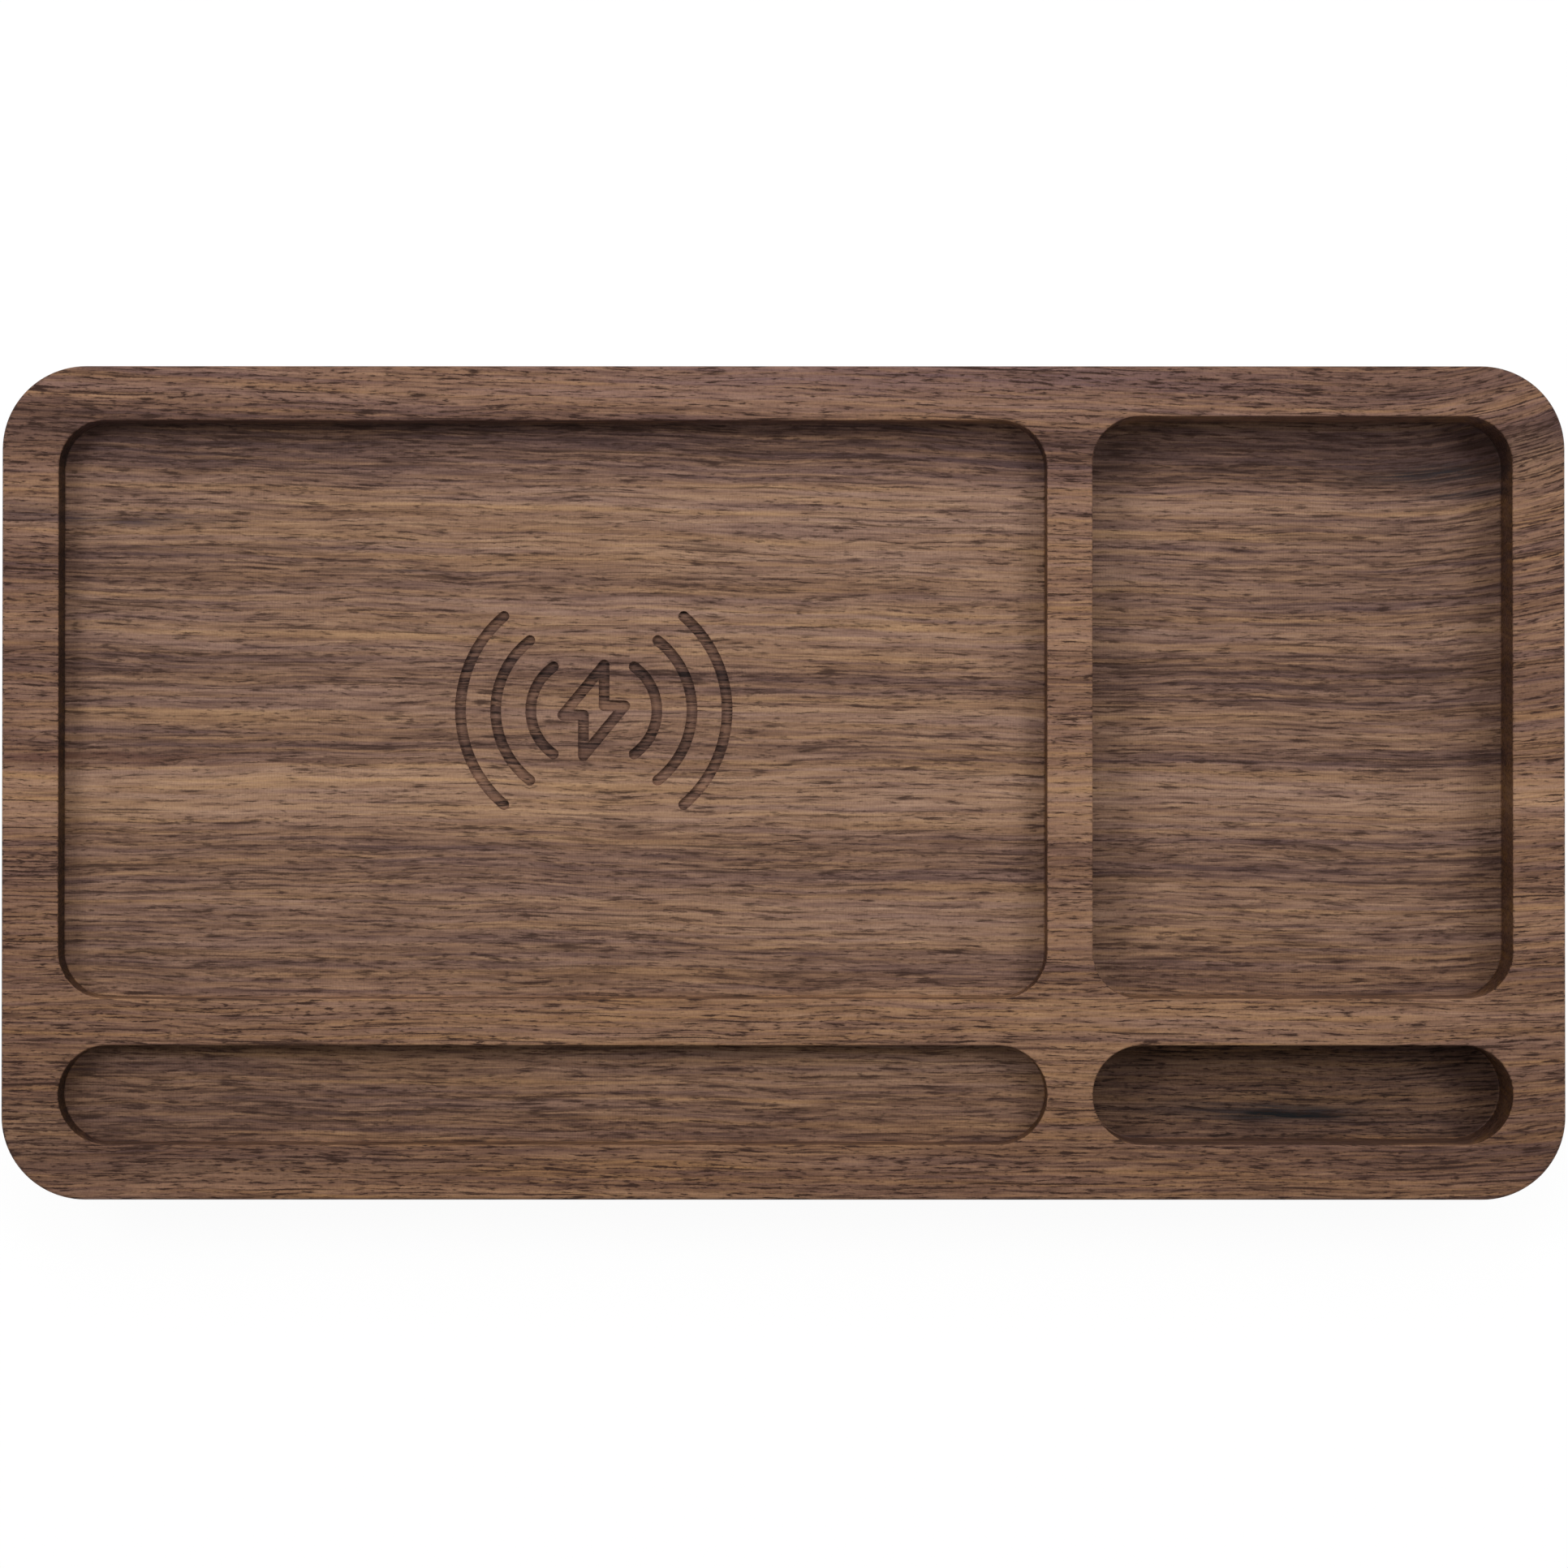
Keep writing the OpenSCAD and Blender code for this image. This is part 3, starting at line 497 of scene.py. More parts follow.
# %% [markdown]
# ## The hole for the power socket
# The charger's socket looks out of the rear face through a stepped hole, wider at the mouth where
# the bezel's flange sits. It crosses from the rear face into the bay, so the two flat walls at its
# ends are taken away and filled again around it.

# %% Power socket hole
port_z = 8.78
port_width, port_height = 14.56, 8.06
flange_width, flange_height, flange_y = 16.16, 9.66, 78.8
rear_y = board_plan[3]


def port_ring(y, width, height):
    """Ring in an upright plane, with straight top and bottom and half-round ends."""
    plan = (symbol_x - width / 2, symbol_x + width / 2, port_z - height / 2, port_z + height / 2)
    outline = rounded(plan, height / 2, steps=12)
    return [tray.verts.new((x * MM, y * MM, z * MM)) for x, z in outline]


def opened(faces, y):
    """Takes away the one face that lies wholly at y, and returns its corners."""
    for face in faces:
        if face.is_valid and all(abs(corner.co.y - y * MM) < 1e-7 for corner in face.verts):
            corners = list(face.verts)
            bmesh.ops.delete(tray, geom=[face], context="FACES_ONLY")
            return corners


outer_mouth = port_ring(rear_y, flange_width, flange_height)
outer_step = port_ring(flange_y, flange_width, flange_height)
inner_step = port_ring(flange_y, port_width, port_height)
inner_mouth = port_ring(bay_rear_y, port_width, port_height)
strip(tray, outer_mouth, outer_step, UNDERSIDE)
strip(tray, inner_step, inner_mouth, UNDERSIDE)
strip(tray, outer_step, inner_step, UNDERSIDE)
rear_face = opened(outside_faces, rear_y)
flat(tray, [rear_face, outer_mouth], SANDED)
bay_rear_face = opened(bay_faces, bay_rear_y)
flat(tray, [bay_rear_face, inner_mouth], UNDERSIDE)
print("socket hole:", port_width, "x", port_height, "mm, middle at a height of", port_z, "mm")

# %% [markdown]
# ## Finishing the mesh
# Each built solid goes through the same steps, so they are one helper. The normals are turned
# outward, edges sharper than 35 degrees stay crisp, and a Weighted Normal modifier keeps the big
# flat faces flat right up to their eased edges. A closed solid has two faces at every edge, which
# is easy to count.

# %% From a built solid to a piece of the object
def finished_piece(solid, name, materials, replaced):
    """Turns a built solid into a piece that stands for one CAD node."""
    bmesh.ops.recalc_face_normals(solid, faces=solid.faces)
    open_edges = sum(1 for edge in solid.edges if len(edge.link_faces) != 2)
    volume = solid.calc_volume() * 1e9
    print(f"{name}: {len(solid.faces)} faces, {open_edges} open edges, {volume:.1f} mm3")
    mesh = bpy.data.meshes.new(name)
    solid.to_mesh(mesh)
    solid.free()
    mesh.shade_smooth()
    mesh.set_sharp_from_angle(angle=radians(35))
    for material in materials:
        mesh.materials.append(material)
    piece = new_object(name, mesh)
    weighted = piece.modifiers.new("flat_faces_stay_flat", "WEIGHTED_NORMAL")
    weighted.keep_sharp = True
    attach(piece, "root")
    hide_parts(replaced)


# %% [markdown]
# ## Walnut
# Walnut has three things on top of each other: broad bands of growth in purple brown, brown and
# gold, a fine fibre along the board, and open pores that show as short dark dashes a few
# millimetres long. All three run along X. They are made from noise that is stretched along the
# grain in three dimensions, so the end faces show the cut ends of the same pores. A photograph of
# wood wrapped on the mesh could not do that: its grain would stretch or repeat on the walls.
#
# The grain isn't quite straight. It slants a little more towards the rear, wanders, and sweeps
# forward near the right end, and a fine raggedness keeps every line from looking drawn with a pen.

# %% Walnut: the board's own coordinates
walnut_wood = bpy.data.node_groups.new("walnut_wood", "ShaderNodeTree")
walnut_wood.interface.new_socket("Colour", in_out="OUTPUT", socket_type="NodeSocketColor")
for name in ("Height", "Pores"):
    walnut_wood.interface.new_socket(name, in_out="OUTPUT", socket_type="NodeSocketFloat")
for name in ("Fibre", "Pore strength"):
    walnut_wood.interface.new_socket(name, in_out="INPUT", socket_type="NodeSocketFloat")
tree = walnut_wood
group_in = tree.nodes.new("NodeGroupInput")


def object_place_mm(tree):
    """The place in the object's own coordinates, in mm."""
    place = add(tree, "TexCoord").outputs["Object"]
    return add(tree, "VectorMath", {0: place, "Scale": 1000.0}, operation="SCALE").outputs[0]


def stretched_noise(place, along, across, through, detail=1.0, roughness=0.5, offset=0.0):
    """Noise from 0 to 1 whose spots are about so many mm long, wide and thick."""
    tree = tree_of(place)
    per_mm = (1 / along, 1 / across, 1 / through)
    scaled = add(tree, "VectorMath", {0: place, 1: per_mm}, operation="MULTIPLY").outputs[0]
    shift = (offset, offset * 1.7, offset * 0.6)
    shifted = add(tree, "VectorMath", {0: scaled, 1: shift}, operation="ADD").outputs[0]
    inputs = {"Vector": shifted, "Scale": 1.0, "Detail": detail, "Roughness": roughness}
    return add(tree, "TexNoise", inputs).outputs["Fac"]


def around_zero(noise, reach):
    """Noise from 0 to 1, made to swing from -reach to reach."""
    return calc("MULTIPLY_ADD", noise, 2 * reach, -reach)


grain_slope, slope_to_rear = 0.012, 0.00025
sweep_from_x, sweep_bend, bend_to_rear = 112.0, 0.0012, 0.00006
growth_slope = 0.08
place_mm = object_place_mm(tree)
x, y, z = split(place_mm)
wander = around_zero(stretched_noise(place_mm, 110, 38, 60, offset=3.1), 1.3)
ripple = around_zero(stretched_noise(place_mm, 26, 7, 12, offset=7.7), 0.8)
to_the_rear = calc("MAXIMUM", y, 0.0)
slant = calc("MULTIPLY_ADD", to_the_rear, slope_to_rear, grain_slope)
past = calc("MAXIMUM", calc("SUBTRACT", x, sweep_from_x), 0.0)
curl = calc("MULTIPLY_ADD", to_the_rear, bend_to_rear, sweep_bend)
sweep = calc("MULTIPLY", calc("MULTIPLY", past, past), curl)
ragged = around_zero(stretched_noise(place_mm, 0.45, 0.45, 0.45, offset=8.8), 0.09)
grain_y = calc("SUBTRACT", calc("MULTIPLY_ADD", x, slant, y), sweep)
for shift in (wander, ripple, ragged):
    grain_y = calc("ADD", grain_y, shift)
above_floor = calc("SUBTRACT", z, phone_floor_z)
growth = calc("MULTIPLY_ADD", above_floor, growth_slope, grain_y)
along_grain = add(tree, "CombineXYZ", {0: x, 1: grain_y, 2: z}).outputs[0]
along_growth = add(tree, "CombineXYZ", {0: x, 1: growth, 2: z}).outputs[0]
print("nodes that lay the grain:", len(tree.nodes))

# %% [markdown]
# The bands of this board, from front to rear, are given one by one, as a maker would pick the
# board: a dark purple one along the rear, a golden one in front of it, a pale one across the
# middle with a dark line behind it, and a dark one along the front of the pen slot. Noise of three
# sizes breaks them up. Painted shade makes the board a little darker towards its two ends and
# deeper down, in the catch and clip pockets and on the underside, so the tone of a place also
# depends on its distance from the middle and on its height.

# %% Walnut: growth bands
def ramp(share, stops, interpolation="LINEAR"):
    """The colour at a share of the way along stops of (share, (red, green, blue))."""
    node = add(tree_of(share), "ValToRGB", {0: share})
    node.color_ramp.interpolation = interpolation
    elements = node.color_ramp.elements
    while len(elements) < len(stops):
        elements.new(0.5)
    for element, (stop, colour) in zip(elements, stops):
        element.position = stop
        element.color = (*colour, 1)
    return node.outputs[0]


BANDS = (
    (-80, 0.42), (-74, 0.34), (-69, 0.26), (-63, 0.50), (-55, 0.34), (-45, 0.62), (-38, 0.40),
    (-30, 0.54), (-22, 0.56), (-15, 0.36), (-8, 0.60), (-1, 0.90), (3, 0.58), (6, 0.38), (9, 0.56),
    (15, 0.53), (21, 0.32), (28, 0.68), (33, 0.54), (38, 0.34), (43, 0.50), (48, 0.52), (55, 0.64),
    (60, 0.30), (66, 0.08), (70, 0.32), (74, 0.52), (80, 0.34),
)
board_depth = board_plan[3] - board_plan[2]
position = calc("MULTIPLY_ADD", growth, 1 / board_depth, 0.5)
band_stops = [(band_y / board_depth + 0.5, (tone, tone, tone)) for band_y, tone in BANDS]
bands = ramp(position, band_stops, interpolation="B_SPLINE")
broad = around_zero(stretched_noise(along_growth, 230, 7, 30, detail=2, offset=1.3), 0.30)
narrow_noise = stretched_noise(along_growth, 80, 1.1, 9, detail=2, roughness=0.6, offset=5.9)
narrow = around_zero(narrow_noise, 0.36)
fibre_noise = stretched_noise(along_grain, 9.0, 0.48, 0.7, detail=1.6, roughness=0.6, offset=2.2)
fibre = around_zero(fibre_noise, 0.58)
tone = calc("ADD", bands, broad)
tone = calc("ADD", tone, narrow)
tone = calc("MULTIPLY_ADD", fibre, group_in.outputs["Fibre"], tone)
# Painted shade: the tone falls towards both ends of the board, and below 15 mm down to the catch
# pocket's floor and under it.
bright_x, half_length, painted_end_shade = 10.0, 148, -0.12
catch_floor_z, unshaded_z, painted_deep_shade = POCKETS["catch"][2], 15.0, -0.08
to_the_end = calc("MULTIPLY", calc("SUBTRACT", x, bright_x), 1 / half_length)
to_the_end = calc("MULTIPLY", to_the_end, to_the_end)
tone = calc("MULTIPLY_ADD", to_the_end, painted_end_shade, tone)
tone = calc("ADD", tone, remap(z, catch_floor_z, unshaded_z, painted_deep_shade, 0.0))
DARK_TO_PALE = (
    (0.0, (0.096, 0.050, 0.036)),
    (0.25, (0.168, 0.090, 0.057)),
    (0.5, (0.268, 0.151, 0.090)),
    (0.75, (0.358, 0.212, 0.124)),
    (1.0, (0.450, 0.274, 0.160)),
)
wood_colour = ramp(tone, DARK_TO_PALE)
print("growth bands:", len(BANDS))

# %% [markdown]
# Dark bands of walnut lean to purple, most of all towards the rear of this board, so a second,
# cooler tint is mixed in where the growth position says so. The light lines between them are
# golden, and the two hues take turns every few millimetres. With tone alone the wood looks like
# painted card, so a noise of its own, helped by the tone of the narrow lines, swings the hue
# between gold and purple.

# %% Walnut: purple and golden heartwood
def mix(share, first, second, blend="MIX"):
    """A colour between two others, each of them a socket or (red, green, blue)."""
    ends = [c if isinstance(c, bpy.types.NodeSocket) else (*c, 1) for c in (first, second)]
    inputs = {"Factor": share, "A": ends[0], "B": ends[1]}
    node = add(tree_of(share, *ends), "Mix", inputs, data_type="RGBA", blend_type=blend)
    return node.outputs["Result"]


PURPLE = ((0.0, 0.0), (0.2, 0.05), (0.35, 0.25), (0.82, 0.25), (0.87, 0.45), (1.0, 0.45))
purple_share = ramp(position, [(share, (amount,) * 3) for share, amount in PURPLE])
tinted_wood = mix(purple_share, wood_colour, (0.95, 0.97, 1.22), blend="MULTIPLY")
hue_noise = stretched_noise(along_growth, 60, 1.7, 5, detail=2, roughness=0.6, offset=41.0)
hue_here = calc("MULTIPLY_ADD", narrow, -0.9, hue_noise)
golden_to_purple = remap(hue_here, 0.28, 0.72)
hue = mix(golden_to_purple, (1.04, 1.00, 0.86), (0.97, 0.99, 1.15))
two_hues = mix(1.0, tinted_wood, hue, blend="MULTIPLY")
print("nodes with the two hues:", len(tree.nodes))

# %% [markdown]
# A board also has marks of its own, where a stain or a line of dark wood comes and goes. Each is a
# long flat ellipsoid inside the wood: it has a middle, three half sizes and a slope, and it shows
# where a cut passes through it. Its share of the colour is broken into streaks along the grain, or
# it would look sprayed on. A share above 1 keeps the core of a mark solid all the same. This board
# has a red-brown streak at the left, dark lines at the rear, a few pale patches along the rims, and
# a black mineral streak low in the wood, which the floor of the clip slot has laid bare. One more
# pale patch, along the rear of the clip slot, is painted light that lifts the shadow of its rear
# wall.

# %% Walnut: marks of this board
waves = stretched_noise(place_mm, 11, 6, 6, detail=1, offset=6.1)
wavy_y = calc("ADD", y, around_zero(waves, 0.9))
streak_noise = stretched_noise(along_grain, 14, 0.6, 0.9, detail=2, offset=31.0)
streaky = remap(streak_noise, 0.40, 0.58, 0.35, 1.0)


def mark(middle, half_sizes, slope, edge):
    """1 inside the mark, fading to 0 over its outer part; edge is the share that fades."""
    across = calc("SUBTRACT", wavy_y, middle[1])
    along = calc("SUBTRACT", x, middle[0])
    across = calc("MULTIPLY_ADD", along, -slope, across)
    deep = calc("SUBTRACT", z, middle[2])
    shares = [calc("DIVIDE", *pair) for pair in zip((along, across, deep), half_sizes)]
    scaled = add(tree, "CombineXYZ", dict(enumerate(shares))).outputs[0]
    distance = add(tree, "VectorMath", {0: scaled}, operation="LENGTH").outputs["Value"]
    return remap(distance, 1 - edge, 1.0, 1.0, 0.0, smooth=True)


MARKS = (
    ((-128, 4.6, 15.5), (60, 2.1, 30), -0.01, 0.8, 0.62, (0.098, 0.036, 0.022)),
    ((-132, 51.0, 15.5), (36, 1.8, 30), -0.02, 0.8, 0.90, (0.060, 0.036, 0.042)),
    ((128, 60.0, 12), (26, 2.6, 14), 0.07, 0.7, 0.95, (0.020, 0.014, 0.016)),
    ((134, 56.2, 12), (15, 1.3, 14), 0.06, 0.7, 0.90, (0.020, 0.014, 0.016)),
    ((118, 77.0, 21.5), (30, 3.6, 4), 0.0, 0.6, 0.50, (0.220, 0.122, 0.086)),
    ((24, 78.0, 21.5), (100, 6.0, 8), 0.0, 0.8, 0.52, (0.190, 0.115, 0.122)),
    ((144, 62.0, 21.5), (12, 8.0, 6), 0.0, 0.8, 0.65, (0.330, 0.196, 0.118)),
    ((-147, 52.0, 21.5), (22, 3.6, 7), 0.0, 0.8, 0.60, (0.100, 0.058, 0.050)),
    ((-144, -67.0, 21.5), (14, 8.0, 6), 0.0, 0.8, 0.55, (0.310, 0.185, 0.115)),
    ((-105, -74.5, 21.5), (60, 4.0, 5), 0.01, 0.7, 0.45, (0.290, 0.170, 0.108)),
    ((-146, 66.0, 21.5), (16, 8.0, 8), 0.0, 0.8, 0.60, (0.250, 0.138, 0.088)),
    ((-78, 41.2, 15.5), (16, 0.5, 4), -0.02, 0.7, 0.75, (0.030, 0.020, 0.022)),
    # Painted light: a pale patch along the rear of the clip slot lifts the shadow of its rear wall.
    ((100, -50.2, 15), (42, 2.2, 9), 0.0, 0.5, 0.75, (0.420, 0.260, 0.165)),
    ((92, -63.8, 8.5), (38, 4.4, 9), -0.01, 0.9, 0.50, (0.030, 0.024, 0.026)),
    ((97, -64.3, 8.5), (22, 2.2, 6), -0.01, 0.9, 1.10, (0.014, 0.016, 0.022)),
    ((98.5, -64.6, 8.5), (13, 0.75, 4), -0.01, 0.6, 2.4, (0.003, 0.004, 0.006)),
)
marked = two_hues
for middle, half_sizes, slope, edge, strength, colour in MARKS:
    share = calc("MULTIPLY", mark(middle, half_sizes, slope, edge), strength)
    share = calc("MULTIPLY", share, streaky)
    marked = mix(share, marked, colour)
print("marks in the board:", len(MARKS))

# %% [markdown]
# The pores are short open grooves, a very dark red-brown. They come in three lengths and crowd
# together in clusters, most of all where the growth band is dark, so both a wider noise and the
# band's tone move the threshold at which noise becomes a pore. The step from wood to pore has to be
# soft: a hard one turns the pores into blots of ink. How strong they are is left open as an input
# of the group, because a sanded top shows them more than a milled floor does.

# %% Walnut: pores
pore_colour, darkest, fainter, more_in_the_dark = (0.034, 0.015, 0.010), 0.96, 0.85, 0.10
clusters = around_zero(stretched_noise(along_grain, 16, 1.6, 6, detail=2, offset=13.3), 0.10)
darkness = calc("SUBTRACT", 0.5, tone)
crowding = calc("MULTIPLY_ADD", darkness, more_in_the_dark, clusters)


def pores(along, across, threshold, offset, softness=0.20):
    """1 in a pore and 0 outside it."""
    sizes = (along, across, across)
    noise = stretched_noise(along_grain, *sizes, detail=1.8, roughness=0.55, offset=offset)
    return remap(calc("ADD", noise, crowding), threshold, threshold + softness, smooth=True)


long_pores = pores(5.2, 0.52, threshold=0.530, offset=11.0)
short_pores = pores(2.2, 0.45, threshold=0.545, offset=17.0)
streaks = pores(28.0, 0.50, threshold=0.555, offset=23.0)
all_pores = long_pores
for lesser in (short_pores, streaks):
    all_pores = calc("MAXIMUM", all_pores, calc("MULTIPLY", lesser, fainter))
darkened = calc("MULTIPLY", all_pores, group_in.outputs["Pore strength"])
darkened = calc("MINIMUM", darkened, darkest)
group_out = tree.nodes.new("NodeGroupOutput")
tree.links.new(mix(darkened, marked, pore_colour), group_out.inputs["Colour"])
height = calc("MULTIPLY_ADD", all_pores, -0.6, calc("MULTIPLY", fibre, 0.5))
tree.links.new(height, group_out.inputs["Height"])
tree.links.new(all_pores, group_out.inputs["Pores"])
print("nodes in the whole of the wood:", len(tree.nodes))

# %% [markdown]
# Six finishes share that one board. The top is sanded and oiled, which lays the fibre down and
# darkens the pores. The floors keep the fine cross ripple of the milling. The walls are darker
# where they cut across the grain, at the left and right ends of a pocket: oil soaks into end
# grain and darkens it a little, and painted shade does the rest, more of it on the left wall of a
# pocket than on the right one. Fine upright marks show where the bit has chattered. The strokes
# of the symbol are darker still, painted shade makes the floor of the deep clip slot darker than
# the other floors, and the underside is left as it was planed. In all six, small pale and dark
# flecks run across the grain: the wood's rays.

# %% Walnut: six finishes of one board
def bump(height, relief, strength):
    """The normal of a surface that height lifts by up to relief, in mm."""
    inputs = {"Strength": strength, "Distance": relief * MM, "Height": height}
    return add(tree_of(height), "Bump", inputs).outputs[0]


def end_with_shader(tree, inputs):
    """Closes a material's tree with a Principled shader."""
    shader = add(tree, "BsdfPrincipled", inputs)
    add(tree, "OutputMaterial", {"Surface": shader.outputs[0]})


along_grain_below, end_grain_above, end_grain_saturation = 0.25, 0.85, 1.15
wood_roughness, pore_roughness, wood_relief = 0.6, 0.15, 0.05


def walnut_finish(
    name,
    gamma=1.0,
    shade=1.0,
    saturation=1.0,
    end_grain_and_painted_shade=None,
    mill_ripple=0.0,
    fibre=1.0,
    pore_strength=0.84,
):
    """A material of the board's wood, made darker or richer for one kind of surface."""
    material, tree = new_tree(name)
    strengths = {"Fibre": fibre, "Pore strength": pore_strength}
    wood = add(tree, "Group", strengths, node_tree=walnut_wood)
    colour = wood.outputs["Colour"]
    if gamma != 1.0:
        colour = add(tree, "Gamma", {0: colour, 1: gamma}).outputs[0]
    place_mm = object_place_mm(tree)
    flecks = stretched_noise(place_mm, 0.34, 0.80, 0.6, detail=2, offset=9.0)
    value = calc("ADD", around_zero(flecks, 0.23), shade)
    if mill_ripple:
        wave = {"Scale": 0.6, "Distortion": 3.4, "Detail": 2.0, "Detail Scale": 0.5}
        lines = add(
            tree, "TexWave", {"Vector": place_mm, **wave}, wave_type="BANDS", bands_direction="X"
        )
        patch_noise = stretched_noise(place_mm, 34, 22, 30, offset=4.4)
        swing = calc("SUBTRACT", lines.outputs["Fac"], 0.5)
        swing = calc("MULTIPLY", swing, remap(patch_noise, 0.42, 0.62, 0.15, 1.0))
        value = calc("MULTIPLY_ADD", swing, mill_ripple, value)
    if end_grain_and_painted_shade is not None:
        chatter = stretched_noise(place_mm, 1.3, 1.3, 14, detail=2, offset=15.0)
        value = calc("ADD", value, around_zero(chatter, 0.3))
        # End-grain walls get darker: partly oil soaked into the end grain, partly painted shade,
        # which is deeper where the wall faces +X, on the left wall of each pocket.
        facing = split(add(tree, "TexCoord").outputs["Normal"])["X"]
        shade_here = calc("MULTIPLY_ADD", facing, -0.12, end_grain_and_painted_shade)
        cut = (calc("ABSOLUTE", facing), along_grain_below, end_grain_above)
        value = calc("MULTIPLY", value, remap(*cut, 1.0, shade_here))
        saturation = remap(*cut, 1.0, end_grain_saturation)
    tint = {"Saturation": saturation, "Value": value, "Color": colour}
    end_with_shader(tree, {
        "Base Color": add(tree, "HueSaturation", tint).outputs[0],
        "Roughness": calc("MULTIPLY_ADD", wood.outputs["Pores"], pore_roughness, wood_roughness),
        "Specular IOR Level": 0.2,
        "Normal": bump(wood.outputs["Height"], wood_relief, 0.6),
    })
    return material


walnut_materials = [
    walnut_finish("walnut_sanded", shade=1.02, saturation=1.05, fibre=0.85, pore_strength=1.15),
    walnut_finish("walnut_milled", mill_ripple=0.08),
    walnut_finish("walnut_walls", gamma=1.1, shade=0.96, end_grain_and_painted_shade=0.34),
    walnut_finish("walnut_engraved", gamma=1.55, shade=1.12, saturation=0.82),
    walnut_finish("walnut_underside", shade=0.95),
    # The floor of the clip slot: its darkness (shade 0.81) is painted shade of the deep narrow
    # slot.
    walnut_finish("walnut_deep_painted_shade", gamma=1.05, shade=0.81, pore_strength=1.1),
]
finished_piece(tray, "walnut_tray", walnut_materials, "tray_body")

# %% [markdown]
# ## Helpers for the smaller pieces
# The pieces that come out of a mould, a press or a coil winder already have their shapes in the CAD
# model. Most of them need only two things: edges that aren't razor sharp, and a finish with the
# small unevenness of the real material. A Bevel modifier does the first. For the second, one helper
# mixes two close tones by noise of the material's own grain size and lifts the same grain a little.

# %% Edges, grain and dressing
def soften_edges(piece, width):
    """Rounds the sharp edges of a CAD piece by a width in mm, without touching its mesh."""
    weld = piece.modifiers.new("join_corners", "WELD")
    weld.merge_threshold = 0.001 * MM
    bevel = piece.modifiers.new("round_edges", "BEVEL")
    bevel.width = width * MM
    bevel.segments = 2
    bevel.limit_method = "ANGLE"
    bevel.angle_limit = radians(40)
    piece.modifiers.new("flat_faces_stay_flat", "WEIGHTED_NORMAL")


def dress(material, *nodes, edge=None):
    """Gives CAD nodes their finish, and rounds their edges where edge gives a width in mm."""
    for name in nodes:
        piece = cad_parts[name]
        piece.material_slots[0].material = material
        if edge:
            soften_edges(piece, edge)
    print("dressed:", ", ".join(nodes))


def grained(name, dark, light, grain, roughness, relief, drawn=(1, 1, 1), **constants):
    """A finish between two close tones, with grain of a size in mm that may be drawn out."""
    material, tree = new_tree(name)
    place = object_place_mm(tree)
    fine_sizes = [grain * stretch for stretch in drawn]
    wide_sizes = [14 * size for size in fine_sizes]
    fine = stretched_noise(place, *fine_sizes, detail=3, roughness=0.6)
    wide = stretched_noise(place, *wide_sizes, detail=2, offset=5.0)
    share = calc("MULTIPLY_ADD", fine, 0.6, calc("MULTIPLY", wide, 0.4))
    end_with_shader(tree, {
        "Base Color": mix(share, dark, light),
        "Roughness": calc("MULTIPLY_ADD", wide, 0.24, roughness - 0.12),
        "Normal": bump(fine, relief, 0.7),
        **{key.replace("_", " "): value for key, value in constants.items()},
    })
    return material


# %% [markdown]
# ## Rubber feet
# The feet are moulded discs, 14 mm wide, with a rounded rim and a slightly hollow face, so that a
# ring of rubber grips the desk. The CAD model has them as plain discs with a bevel. A profile
# turned about its axis gives the true shape, and each foot replaces its disc.

# %% Turned rubber feet
def turned(mesh, middle, profile, steps=72):
    """Turns a profile of (radius, height) in mm about an upright axis, closed at both ends."""
    rings = [
        ring_at(mesh, arc_points(middle, radius, 0, 360 - 360 / steps, steps - 1), height)
        for radius, height in profile
    ]
    for first, second in zip(rings, rings[1:]):
        strip(mesh, first, second, 0)
    mesh.faces.new(rings[0])
    mesh.faces.new(rings[-1])


FOOT_PROFILE = [
    (0.6, 0.34), (2.2, 0.31), (3.6, 0.22), (4.4, 0.1), (4.8, 0.02), (5.2, 0.0), (5.9, 0.0),
    (6.3, 0.04), (6.62, 0.16), (6.86, 0.36), (6.97, 0.62), (7.0, 0.9), (7.0, 1.72), (6.92, 1.8),
]
foot_rubber = grained(
    "foot_rubber", (0.016, 0.016, 0.017), (0.034, 0.033, 0.033), 0.25, 0.72, relief=0.03
)
FOOT_SIDES = ("front_left", "front_right", "rear_left", "rear_right")
for side in FOOT_SIDES:
    low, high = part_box("foot_" + side)
    mesh = bmesh.new()
    turned(mesh, [(low[i] + high[i]) / 2 / MM for i in (0, 1)], FOOT_PROFILE)
    finished_piece(mesh, "rubber_foot_" + side, [foot_rubber], "foot_" + side)
dress(
    grained("foot_adhesive", (0.52, 0.50, 0.44), (0.66, 0.64, 0.58), 0.5, 0.45, relief=0.01),
    *("adhesive_" + side for side in FOOT_SIDES),
)

# %% [markdown]
# ## Base cover and its screws
# The cover is black moulded plastic with the fine matt texture of a spark-eroded mould. The screws
# are zinc-plated steel with a fine and even grain.

# %% Cover and screws
cover_plastic = grained(
    "cover_plastic", (0.014, 0.014, 0.015), (0.026, 0.026, 0.028), 0.22, 0.5, relief=0.035
)
screw_steel = grained(
    "screw_steel", (0.42, 0.43, 0.45), (0.62, 0.62, 0.61), 0.12, 0.34, relief=0.006, Metallic=1.0
)
dress(cover_plastic, "base_cover", edge=0.2)
dress(screw_steel, "cover_screws", "board_screws")

# %% [markdown]
# ## Power socket
# A satin black bezel lines the hole in the rear face. Behind it sits the socket: a shell of drawn
# stainless steel, a black plastic tongue and gold-plated contacts. The shell's grain is drawn out
# along Y, the way it was pressed.

